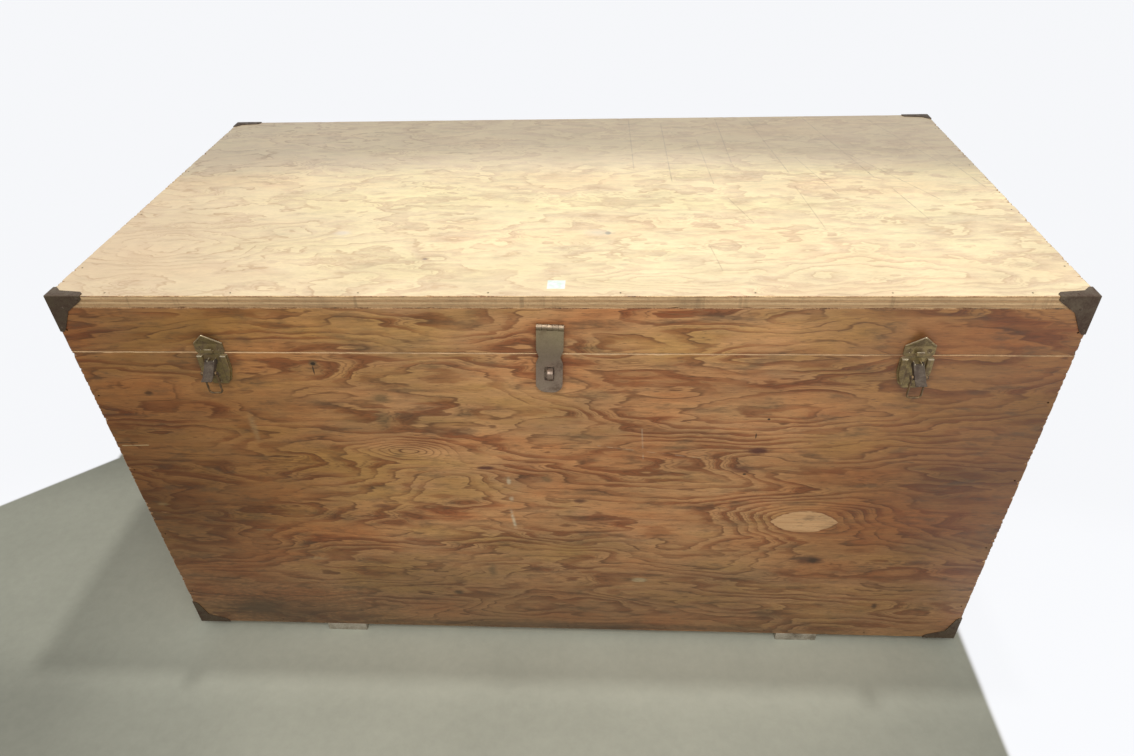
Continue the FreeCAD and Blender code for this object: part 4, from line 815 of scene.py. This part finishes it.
def board_materials(side):
    """The four materials of a board on a side: outer veneer, inner veneer, cut edge and arris."""
    colours = wood()
    varnished = dict(tones=(colours.honey, colours.amber, colours.umber))
    inner_long, inner_end = ("Inner long veneer", "xZY", 5.0), ("Inner end veneer", "yZX", 8.0)
    end = dict(order="yZX", origin=(0, TOP_Z, 0), bands=15.0, lean=26.0, cast_strength=0.7, eyes=END_EYES,
               **varnished)
    outer, edge, inner = {
        "front": (
            ("Front veneer", dict(
                order="xZY", origin=(0, TOP_Z, FRONT_Y), seed=3.1, bands=14.0, fill=0.45, size=(1.15, 1.0),
                lean=26.0, eyes=FRONT_EYES, blots=FRONT_BLOTS, scratches=FRONT_SCRATCHES, marks=front_marks,
                **varnished)),
            ("Front ply edge", "Y", FRONT_Y, 0.3),
            inner_long),
        "back": (
            ("Back veneer", dict(
                order="xZY", origin=(0, TOP_Z, FRONT_Y), seed=17.7, bands=15.0, lean=24.0, cast_strength=0.7,
                eyes=BACK_EYES, **varnished)),
            ("Back ply edge", "Y", BACK_Y - PLY, 1.3),
            inner_long),
        "left": (
            ("Left end veneer", dict(seed=31.3, **end)),
            ("Left end ply edge", "X", -END_X, 2.3),
            inner_end),
        "right": (
            ("Right end veneer", dict(seed=43.9, **end)),
            ("Right end ply edge", "X", END_X - PLY, 2.3),
            inner_end),
        "top": (
            ("Lid top veneer", dict(
                order="xyZ", origin=(0, FRONT_Y, TOP_Z), tones=(colours.straw, colours.wheat, colours.bark),
                seed=57.2, bands=5.5, islands=2.5, fill=0.55, least=0.4, size=(2.3, 1.0), lean=9.0,
                eyes=TOP_EYES, blots=TOP_BLOTS, scratches=TOP_SCRATCHES, marks=lid_marks, dirt=0.12,
                rough=0.46, contrast=0.9, mottle=0.5, outline=0.6, cast_strength=0.3)),
            ("Lid top ply edge", "Z", TOP_Z - PLY, 3.3, 0.3, paint(196, 156, 110), 0.25),
            ("Inner flat veneer", "xyZ", 11.0)),
    }[side]
    if side == "top":
        arris = shared("Bleached arris", raw_arris, paint(214, 180, 132), paint(150, 108, 70))
    else:
        arris = shared("Rubbed arris", raw_arris, paint(200, 158, 112), paint(128, 88, 56), pale_seam=True)
    label, order, seed = inner
    bare = paint(222, 192, 148), paint(202, 164, 118), paint(166, 124, 84)
    return (
        shared(outer[0], veneer, **outer[1]),
        shared(label, veneer, order, ORIGIN, bare, seed, dirt=0.2, rough=0.7, contrast=0.6,
               cast_strength=0.25),
        shared(edge[0], ply_edge, *edge[1:]),
        arris,
    )


def metal_finish(kind):
    """One of the hardware's finishes."""
    m = metal()
    foot, head = (corner.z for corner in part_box("hasp_flap"))
    # Painted highlight and shade on the hasp: bright and bluish at the foot, darker in the middle, bright and
    # yellowish near the head, darker again at the barrel
    painted_sheen = foot, head, [(0.0, paint(250, 246, 255)), (0.3, paint(236, 230, 240)),
                         (0.55, paint(218, 214, 216)), (0.9, paint(250, 250, 234)),
                         (0.97, paint(206, 200, 194))]
    bare, tarnish, cover, grain, others = {
        "corner": (m.iron, m.rust, 0.5, 60.0, dict(metallic=0.6, low=0.1)),
        "hasp": (m.nickel, m.tarnish, 0.42, 34.0, dict(metallic=0.85, low=0.1, bumps=0.15, painted_sheen=painted_sheen)),
        # Painted highlight on the latches' upward faces
        "latch": (m.brass, m.tarnish, 0.5, 130.0, dict(metallic=0.8, rim=paint(196, 184, 158))),
        "lever": (paint(96, 84, 68), m.soot, 0.6, 120.0, dict(metallic=0.35, low=0.15)),
        "bail": (paint(132, 106, 72), m.soot, 0.45, 160.0, dict(metallic=0.7)),
        "hinge": (m.steel, m.rust, 0.42, 90.0, dict(metallic=0.8)),
        "handle": (m.steel, m.rust, 0.55, 80.0, dict(metallic=0.7, low=0.06)),
        "nail": (paint(104, 88, 68), m.rust, 0.5, 300.0, dict(metallic=0.6, low=0.1)),
        "screw": (paint(140, 122, 84), m.tarnish, 0.6, 200.0, dict(metallic=0.7, low=0.1)),
        "tack": (paint(104, 92, 74), m.rust, 0.55, 300.0, dict(metallic=0.6, low=0.1)),
    }[kind]
    return shared(f"Aged {kind} metal", aged_metal, bare, tarnish, cover, grain, **others)


# Boards and nails


LOW_BIT, HIGH_BIT = 0, 1
CORNERS = tuple(itertools.product((LOW_BIT, HIGH_BIT), repeat=3))
OUTER_FACE, INNER_FACE, EDGE_FACE, ARRIS_FACE = range(4)
FIRST, MIDDLE, SECOND = range(3)

# How far a corner's tips lie inside it, as a share of the rub
TIP_SHARE = 0.8

# Lengths of an arris's slow and quick waves
SLOW_WAVE, QUICK_WAVE = 0.05, 0.006

# Edge wear: pitch of the samples, half length of the longest chip and chips in a metre
THICKNESS_WEAR = 0.004, 0.001, 0
GRAIN_WEAR = 0.0035, 0.014, 22
END_WEAR = 0.0011, 0.0032, 150

# Chips: least length and depth as shares of the greatest, lean, and how deep they reach on the edge
LEAST_LENGTH, LEAST_DEPTH, MOST_LEAN, EDGE_SHARE = 0.35, 0.12, 0.5, 0.3

# Powers that make most chips small and round their outline
SMALL_CHIPS, ROUND_CHIPS = 2.2, 0.7

# How far the arris's middle line lies inside its cuts: when whole, chipped and at a corner
WHOLE_HOLLOW, CHIPPED_HOLLOW, CORNER_HOLLOW = 0.3, 0.62, 0.3


def smooth_run(rng, count, step):
    """A smooth random run of values between 0 and 1."""
    knots = [rng.random() for _ in range(int(count * step) + 3)]
    run = []
    for i in range(count + 1):
        low = int(i * step)
        blend = i * step - low
        blend = blend * blend * (3 - 2 * blend)
        run.append(knots[low] * (1 - blend) + knots[low + 1] * blend)
    return run


def edge_profile(rng, span, rub, depth, pitch, half_length, per_metre):
    """Samples along an edge of how far it is cut back on the veneer and on the edge, and how hollow it is."""
    count = max(2, round(span / pitch))
    slow = smooth_run(rng, count, pitch / SLOW_WAVE)
    quick = smooth_run(rng, count, pitch / QUICK_WAVE)
    chips = []
    for _ in range(round(span * per_metre)):
        deep = depth * (LEAST_DEPTH + (1 - LEAST_DEPTH) * rng.random() ** SMALL_CHIPS)
        reach = half_length * (LEAST_LENGTH + (1 - LEAST_LENGTH) * rng.random())
        chips.append((rng.uniform(0, span), reach, deep, rng.uniform(-MOST_LEAN, MOST_LEAN)))
    profile = []
    for i in range(count + 1):
        at = span * i / count
        veneer_cut = edge_cut = rub * (0.4 + 0.5 * slow[i] + 0.5 * quick[i])
        hollow = WHOLE_HOLLOW
        for middle, reach, deep, lean in chips:
            off = (at - middle) / reach
            if abs(off) < 1:
                cut = deep * (1 - abs(off)) ** ROUND_CHIPS * (1 + lean * off)
                if cut > veneer_cut:
                    veneer_cut = cut
                    edge_cut = max(edge_cut, rub + cut * EDGE_SHARE)
                    hollow = CHIPPED_HOLLOW
        profile.append((veneer_cut, edge_cut, hollow))
    return profile


def chest_middle(axis):
    """The chest's middle along an axis, which tells a board's outer side from its inner one."""
    low, high = BOX_AT_LOAD
    return (low[axis] + high[axis]) / 2


def other_axes(axis):
    """The two axes other than one."""
    return [other for other in range(3) if other != axis]


class WornBoard:
    """The mesh of a board with rubbed arrises and splintered ends.

    thick and grain are its thickness and grain axes. A corner is a low or high bit for each axis. A row is
    an edge's samples: each is a vertex on the flat across its first axis, one on the arris and one on the
    other flat.
    """

    def __init__(self, low, high, thick, grain, seed, chips):
        self.ends = low, high
        self.thick, self.grain, self.chips = thick, grain, chips
        self.rng = random.Random(seed)
        self.inset = wood().rub * TIP_SHARE
        self.mesh = bmesh.new()
        self.tips, self.rows, self.strips = {}, {}, []

    def point(self, corner, cuts):
        """A place at a corner, moved inward along some axes."""
        place = [self.ends[bit][axis] for axis, bit in enumerate(corner)]
        for axis, cut in cuts.items():
            place[axis] += cut if corner[axis] == LOW_BIT else -cut
        return place

    def add_tips(self):
        """The vertices where each face's flat ends at a corner."""
        for corner in CORNERS:
            for axis in range(3):
                cuts = {other: self.inset for other in other_axes(axis)}
                self.tips[corner, axis] = self.mesh.verts.new(self.point(corner, cuts))

    def profile(self, run, span):
        """An edge's wear: little across the thickness, chips along the grain and splinters at its ends."""
        if run == self.thick:
            wear, depth = THICKNESS_WEAR, 0.0
        elif run == self.grain:
            wear, depth = GRAIN_WEAR, wood().chip
        else:
            wear, depth = END_WEAR, wood().splinter
        pitch, half_length, per_metre = wear
        return edge_profile(self.rng, span, wood().rub, depth, pitch, half_length, per_metre * self.chips)

    def add_edge(self, run, bits):
        """One edge's row and the two strips of arris along it."""
        first, second = other_axes(run)
        start, end = (tuple(bit if axis == run else bits[axis == second] for axis in range(3))
                      for bit in (LOW_BIT, HIGH_BIT))
        low, high = self.ends
        span = high[run] - low[run] - 2 * self.inset
        profile = self.profile(run, span)
        last = len(profile) - 1
        row = self.rows[run, bits] = []
        for i, (veneer_cut, edge_cut, hollow) in enumerate(profile):
            at = low[run] + self.inset + span * i / last
            cut = {first: edge_cut, second: edge_cut}
            if self.thick in cut:
                cut[first if self.thick == second else second] = veneer_cut
            if i in (0, last):
                corner = start if i == 0 else end
                sample = [self.tips[corner, axis] for axis in (first, second)]
                hollows = {axis: self.inset * CORNER_HOLLOW for axis in (first, second)}
            else:
                sample = [self.vertex(start, {other: cut[other]}, run, at) for other in (second, first)]
                hollows = {axis: cut[axis] * hollow for axis in (first, second)}
            sample.insert(MIDDLE, self.vertex(start, hollows, run, at))
            row.append(sample)
        for before, after in zip(row, row[1:]):
            for k in (FIRST, MIDDLE):
                self.strips.append(self.mesh.faces.new((before[k], before[k + 1], after[k + 1], after[k])))

    def vertex(self, corner, cuts, run, at):
        """A new vertex beside an edge, at one place of its run."""
        place = self.point(corner, cuts)
        place[run] = at
        return self.mesh.verts.new(place)

    def add_flat(self, axis, side):
        """One flat face, round the rows of its four edges."""
        a, b = other_axes(axis)
        loop = []
        for run, bit, step in ((a, LOW_BIT, 1), (b, HIGH_BIT, 1), (a, HIGH_BIT, -1), (b, LOW_BIT, -1)):
            on_first = axis == other_axes(run)[0]
            row = self.rows[run, (side, bit) if on_first else (bit, side)]
            loop += [sample[FIRST if on_first else SECOND] for sample in row[::step]][:-1]
        return self.mesh.faces.new(loop)

    def add_corner(self, corner):
        """The small face that closes a corner between three arrises."""
        middles = []
        for run in range(3):
            first, second = other_axes(run)
            row = self.rows[run, (corner[first], corner[second])]
            middles.append(row[0 if corner[run] == LOW_BIT else -1][MIDDLE])
        tips = [self.tips[corner, axis] for axis in range(3)]
        ring = (tips[0], middles[2], tips[1], middles[0], tips[2], middles[1])
        self.strips.append(self.mesh.faces.new(ring))

    def build(self, name, materials):
        """The board's object; the materials are its outer veneer, inner veneer, cut edge and arris."""
        self.add_tips()
        for run in range(3):
            for bits in itertools.product((LOW_BIT, HIGH_BIT), repeat=2):
                self.add_edge(run, bits)
        low, high = self.ends
        outer = LOW_BIT if (low[self.thick] + high[self.thick]) / 2 < chest_middle(self.thick) else HIGH_BIT
        for axis, side in itertools.product(range(3), (LOW_BIT, HIGH_BIT)):
            flat = self.add_flat(axis, side)
            if axis == self.thick:
                flat.material_index = OUTER_FACE if side == outer else INNER_FACE
            else:
                flat.material_index = EDGE_FACE
        for corner in CORNERS:
            self.add_corner(corner)
        for face in self.strips:
            face.material_index = ARRIS_FACE
            face.smooth = True
        bmesh.ops.recalc_face_normals(self.mesh, faces=self.mesh.faces)
        return new_piece(name, self.mesh, materials)


def new_piece(name, mesh, materials):
    """An object of the scene from a bmesh, which is freed."""
    data = bpy.data.meshes.new(name)
    mesh.to_mesh(data)
    mesh.free()
    for material in materials:
        data.materials.append(material)
    piece = bpy.data.objects.new(name, data)
    bpy.context.scene.collection.objects.link(piece)
    return piece


def stand_in(piece, node, body):
    """Say what a piece replaces and rides on."""
    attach(piece, body)
    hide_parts(node)


def dress(node, *materials):
    """Give a CAD node new materials."""
    data = NODES[node].data
    data.materials.clear()
    for material in materials:
        data.materials.append(material)


def lay_board(node, side, seed, body, chips):
    """One worn board in a CAD board's place, on a side of the chest."""
    low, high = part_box(node)
    board = WornBoard(low, high, *BOARD_AXES[side], seed, chips)
    stand_in(board.build("worn_" + node, board_materials(side)), node, body)


def islands(mesh):
    """The groups of vertices that a mesh's edges join."""
    left = set(mesh.verts)
    while left:
        island = waiting = {left.pop()}
        while waiting:
            waiting = {edge.other_vert(vert) for vert in waiting for edge in vert.link_edges} & left
            left -= waiting
            island = island | waiting
        yield island


def set_nails(node, name, body):
    """Brads of a CAD node: small dull heads on the sides, and upright ones sunk under the top's filler."""
    mesh = bmesh.new()
    mesh.from_mesh(NODES[node].data)
    for nail in islands(mesh):
        lows = [min(v.co[a] for v in nail) for a in range(3)]
        highs = [max(v.co[a] for v in nail) for a in range(3)]
        axis = max(range(3), key=lambda a: highs[a] - lows[a])
        middle = chest_middle(axis)
        outward = 1 if abs(highs[axis] - middle) > abs(lows[axis] - middle) else -1
        head = highs[axis] if outward > 0 else lows[axis]
        shift = -HEAD_SUNK if axis == 2 else HEAD_PROUD
        for vert in nail:
            if abs(vert.co[axis] - head) < SAME_PLACE:
                vert.co[axis] += outward * shift
    stand_in(new_piece(name, mesh, [metal_finish("nail")]), node, body)


# Steps


class Step:
    """What every step of the dressing shares."""

    bl_options = {"REGISTER", "UNDO"}


class CHUCKBOX_OT_stage(Step, bpy.types.Operator):
    """Set up the camera, the lamps, the room light and the floor."""

    bl_idname = "chuck_box.stage"
    bl_label = "Stage"

    def execute(self, context):
        context.scene.view_settings.view_transform = "Standard"
        self.aim(context.scene)
        self.light(context.scene)
        self.floor(context.scene)
        return {"FINISHED"}

    def aim(self, scene):
        """Put the camera in its place."""
        lens = bpy.data.cameras.new("Camera")
        lens.sensor_width = SENSOR_WIDTH
        lens.lens = stage().focal * SENSOR_WIDTH / FRAME_WIDTH
        camera = bpy.data.objects.new("Camera", lens)
        scene.collection.objects.link(camera)
        camera.location = Vector(stage().eye) + Vector((0, FRONT_Y, BASE_Z))
        right, down, ahead = (Vector(axis) for axis in (CAMERA_RIGHT, CAMERA_DOWN, CAMERA_AHEAD))
        camera.rotation_euler = Matrix((right, -down, -ahead)).transposed().to_euler()
        scene.camera = camera

    def light(self, scene):
        """The room's own soft light, a soft panel in front of the chest and a lamp over the lid."""
        world = bpy.data.worlds.new("Room")
        scene.world = world
        world.use_nodes = True
        w = Wiring(world.node_tree)
        backdrop = world.node_tree.nodes["Background"]
        w.feed(backdrop.inputs["Strength"], w.span(w.shown(), 0.0, 1.0, stage().sky, 0.99))
        backdrop.inputs["Color"].default_value = (0.98, 0.99, 1.0, 1.0)

        panel = bpy.data.lights.new("Soft panel", "AREA")
        panel.shape = "RECTANGLE"
        panel.size, panel.size_y = PANEL_WIDTH, PANEL_HEIGHT
        panel.energy = stage().key
        self.hang(panel, PANEL_PLACE, PANEL_TARGET)

        over = bpy.data.lights.new("Top lamp", "SPOT")
        over.energy = stage().spot
        over.spot_size = LAMP_CONE
        over.spot_blend = LAMP_SOFT_RIM
        over.shadow_soft_size = LAMP_RADIUS
        self.hang(over, LAMP_PLACE, LAMP_TARGET)

    def hang(self, light, place, target):
        """Hang a lamp and turn it to a target."""
        lamp = bpy.data.objects.new(light.name, light)
        bpy.context.scene.collection.objects.link(lamp)
        lamp.location = place
        lamp.rotation_euler = (Vector(target) - Vector(place)).to_track_quat("-Z", "Y").to_euler()

    def floor(self, scene):
        """A pale concrete floor that turns into a white surround behind and beside the chest."""
        material, w, shader, place = new_material("Pale floor")
        parts = w.parts(place)

        # Mottled concrete with painted light: brightest just in front of the chest, and painted shade further
        # away
        base = stage().floor
        level = w.sway(w.noise(place, 3.0, 6.0, 0.62), w.noise(place, 60.0, 4.0, 0.7), 0.5)
        tones = ((0.25, 0.86), (0.6, 1.0), (0.85, 1.08))
        concrete = w.ramp(level, [(at, tuple(c * share for c in base)) for at, share in tones])
        near = w.ease(parts[1], FRONT_Y - 0.16, FRONT_Y - 0.01, 1.0, 1.42)
        # Painted shade: the floor darkens further from the chest
        painted_falloff = w.vector("MULTIPLY", w.vector("SUBTRACT", place, (-0.08, FRONT_Y, 0.0)), (1.0, 1.3, 0.0))
        painted_falloff = w.ease(w.gauge("LENGTH", painted_falloff), 0.34, 0.85, 1.0, 0.68)
        concrete = w.shade(concrete, w.times(near, painted_falloff))

        # How far a place is outside the concrete's back, left and right
        back = w.minus(parts[1], FLOOR_BACK)
        slant = w.times(w.minus(LEFT_TURN_Y, parts[1]), LEFT_SLANT)
        left = w.minus(w.times(w.plus(parts[0], -FLOOR_LEFT), -1.0), slant)
        left = w.math("MINIMUM", left, w.minus(FLOOR_LEFT, parts[0]))
        outside = w.math("MAXIMUM", back, w.math("MAXIMUM", left, w.minus(parts[0], FLOOR_RIGHT)))
        mask = w.ease(outside, -OUTLINE_BLUR, OUTLINE_BLUR)
        w.feed(shader.inputs["Base Color"], w.blend(mask, concrete, rgba(stage().wall)))
        shader.inputs["Roughness"].default_value = 0.85

        # Camera, glossy and transmission rays see most of the surround as plain white
        glow = w.add("Emission", {"Color": (0.955, 0.965, 0.99, 1.0)})[0]
        share = w.times(w.times(mask, w.shown()), PLAIN_SHARE)
        mixed = w.add("MixShader", {0: share, 1: shader.outputs[0], 2: glow})[0]
        w.feed(material.node_tree.nodes["Material Output"].inputs["Surface"], mixed)

        data = bpy.data.meshes.new("Floor")
        rim = [(x * FLOOR_REACH, y * FLOOR_REACH, 0) for x, y in ((-1, -1), (1, -1), (1, 1), (-1, 1))]
        data.from_pydata(rim, [], [(0, 1, 2, 3)])
        data.materials.append(material)
        piece = bpy.data.objects.new("Floor", data)
        scene.collection.objects.link(piece)


class CHUCKBOX_OT_body_boards(Step, bpy.types.Operator):
    """Lay the worn boards of the body."""

    bl_idname = "chuck_box.body_boards"
    bl_label = "Body boards"

    def execute(self, context):
        lay_board("front_panel", "front", 11, "body", 1.0)
        lay_board("back_panel", "back", 12, "body", 0.6)
        lay_board("left_end_panel", "left", 13, "body", 0.3)
        lay_board("right_end_panel", "right", 14, "body", 0.3)
        dress("bottom_panel", board_materials("top")[INNER_FACE])
        return {"FINISHED"}


class CHUCKBOX_OT_lid_boards(Step, bpy.types.Operator):
    """Lay the worn boards of the lid."""

    bl_idname = "chuck_box.lid_boards"
    bl_label = "Lid boards"

    def execute(self, context):
        lay_board("lid_top_panel", "top", 21, "lid", 1.0)
        for side, seed, chips in (("front", 22, 0.8), ("back", 23, 0.5),
                                  ("left", 24, 0.3), ("right", 25, 0.3)):
            lay_board(f"lid_{side}_rail", side, seed, "lid", chips)
        return {"FINISHED"}


class CHUCKBOX_OT_skids(Step, bpy.types.Operator):
    """Lay the weathered skids."""

    bl_idname = "chuck_box.skids"
    bl_label = "Skids"

    def execute(self, context):
        pine = wood().skid
        tones = pine, paint(150, 140, 122), paint(120, 108, 90)
        grey = shared("Weathered pine", veneer, "yxZ", ORIGIN, tones, 71.0, bands=3.0, lean=30.0, rough=0.8,
                      dirt=0.4, contrast=0.7)
        cut = shared("Weathered end grain", raw_arris, pine, paint(132, 122, 104))
        for seed, node in ((31, "left_skid"), (32, "right_skid")):
            low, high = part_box(node)
            skid = WornBoard(low, high, thick=2, grain=1, seed=seed, chips=0.5)
            stand_in(skid.build("worn_" + node, (grey, grey, cut, cut)), node, "body")
        return {"FINISHED"}


class CHUCKBOX_OT_corner_caps(Step, bpy.types.Operator):
    """Age the corner caps and their tacks."""

    bl_idname = "chuck_box.corner_caps"
    bl_label = "Corner caps"

    def execute(self, context):
        for node in NODES:
            if "_corner_" in node:
                dress(node, metal_finish("tack" if node.endswith("tacks") else "corner"))
        return {"FINISHED"}


class CHUCKBOX_OT_hasp(Step, bpy.types.Operator):
    """Age the hasp and its staple."""

    bl_idname = "chuck_box.hasp"
    bl_label = "Hasp"

    def execute(self, context):
        for part in ("flap", "leaf", "pin", "staple_plate", "staple_loop"):
            dress(f"hasp_{part}", metal_finish("hasp"))
        return {"FINISHED"}


class CHUCKBOX_OT_latches(Step, bpy.types.Operator):
    """Age the two trunk latches."""

    bl_idname = "chuck_box.latches"
    bl_label = "Latches"

    def execute(self, context):
        for side in SIDES:
            dress(f"{side}_keeper", metal_finish("latch"))
            for part, kind in (("base", "latch"), ("rivet", "lever"), ("lever", "lever"),
                               ("link_pin", "lever"), ("bail", "bail")):
                dress(f"{side}_latch_{part}", metal_finish(kind))
        return {"FINISHED"}


class CHUCKBOX_OT_hinges(Step, bpy.types.Operator):
    """Age the back hinges."""

    bl_idname = "chuck_box.hinges"
    bl_label = "Hinges"

    def execute(self, context):
        for node in NODES:
            if node.startswith("hinge_"):
                dress(node, metal_finish("hinge"))
        return {"FINISHED"}


class CHUCKBOX_OT_handles(Step, bpy.types.Operator):
    """Age the end handles."""

    bl_idname = "chuck_box.handles"
    bl_label = "Handles"

    def execute(self, context):
        for side in SIDES:
            for part in ("plate", "bail"):
                dress(f"{side}_handle_{part}", metal_finish("handle"))
        return {"FINISHED"}


class CHUCKBOX_OT_fasteners(Step, bpy.types.Operator):
    """Set the brads, skid nails and screws."""

    bl_idname = "chuck_box.fasteners"
    bl_label = "Brads and screws"

    def execute(self, context):
        set_nails("body_brads", "set_body_brads", "body")
        set_nails("lid_brads", "set_lid_brads", "lid")
        for node, finish in (("skid_nails", "nail"), ("body_screws", "screw"), ("lid_screws", "screw")):
            dress(node, metal_finish(finish))
        return {"FINISHED"}


STEPS = (
    CHUCKBOX_OT_stage,
    CHUCKBOX_OT_body_boards,
    CHUCKBOX_OT_lid_boards,
    CHUCKBOX_OT_skids,
    CHUCKBOX_OT_corner_caps,
    CHUCKBOX_OT_hasp,
    CHUCKBOX_OT_latches,
    CHUCKBOX_OT_hinges,
    CHUCKBOX_OT_handles,
    CHUCKBOX_OT_fasteners,
)
SETTINGS = {
    "chuck_box_wood": ChuckBoxWood,
    "chuck_box_metal": ChuckBoxMetal,
    "chuck_box_stage": ChuckBoxStage,
}


class CHUCKBOX_PT_panel(bpy.types.Panel):
    """The chuck box's steps and settings in the sidebar."""

    bl_idname = "CHUCKBOX_PT_panel"
    bl_label = "Chuck Box"
    bl_space_type = "VIEW_3D"
    bl_region_type = "UI"
    bl_category = "Chuck Box"

    def draw(self, context):
        column = self.layout.column()
        for step in STEPS:
            column.operator(step.bl_idname)
        for name, settings in SETTINGS.items():
            box = self.layout.box()
            for key in settings.__annotations__:
                box.prop(getattr(context.scene, name), key)


def register():
    """Register the settings, the steps and the panel."""
    for name, settings in SETTINGS.items():
        bpy.utils.register_class(settings)
        setattr(bpy.types.Scene, name, bpy.props.PointerProperty(type=settings))
    for item in (*STEPS, CHUCKBOX_PT_panel):
        bpy.utils.register_class(item)


def unregister():
    """Take back what register added."""
    for item in (CHUCKBOX_PT_panel, *reversed(STEPS)):
        bpy.utils.unregister_class(item)
    for name, settings in SETTINGS.items():
        delattr(bpy.types.Scene, name)
        bpy.utils.unregister_class(settings)


def main():
    """Register the add-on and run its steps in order."""
    register()
    for step in STEPS:
        getattr(bpy.ops.chuck_box, step.bl_idname.split(".")[1])()


if __name__ == "__main__":
    main()
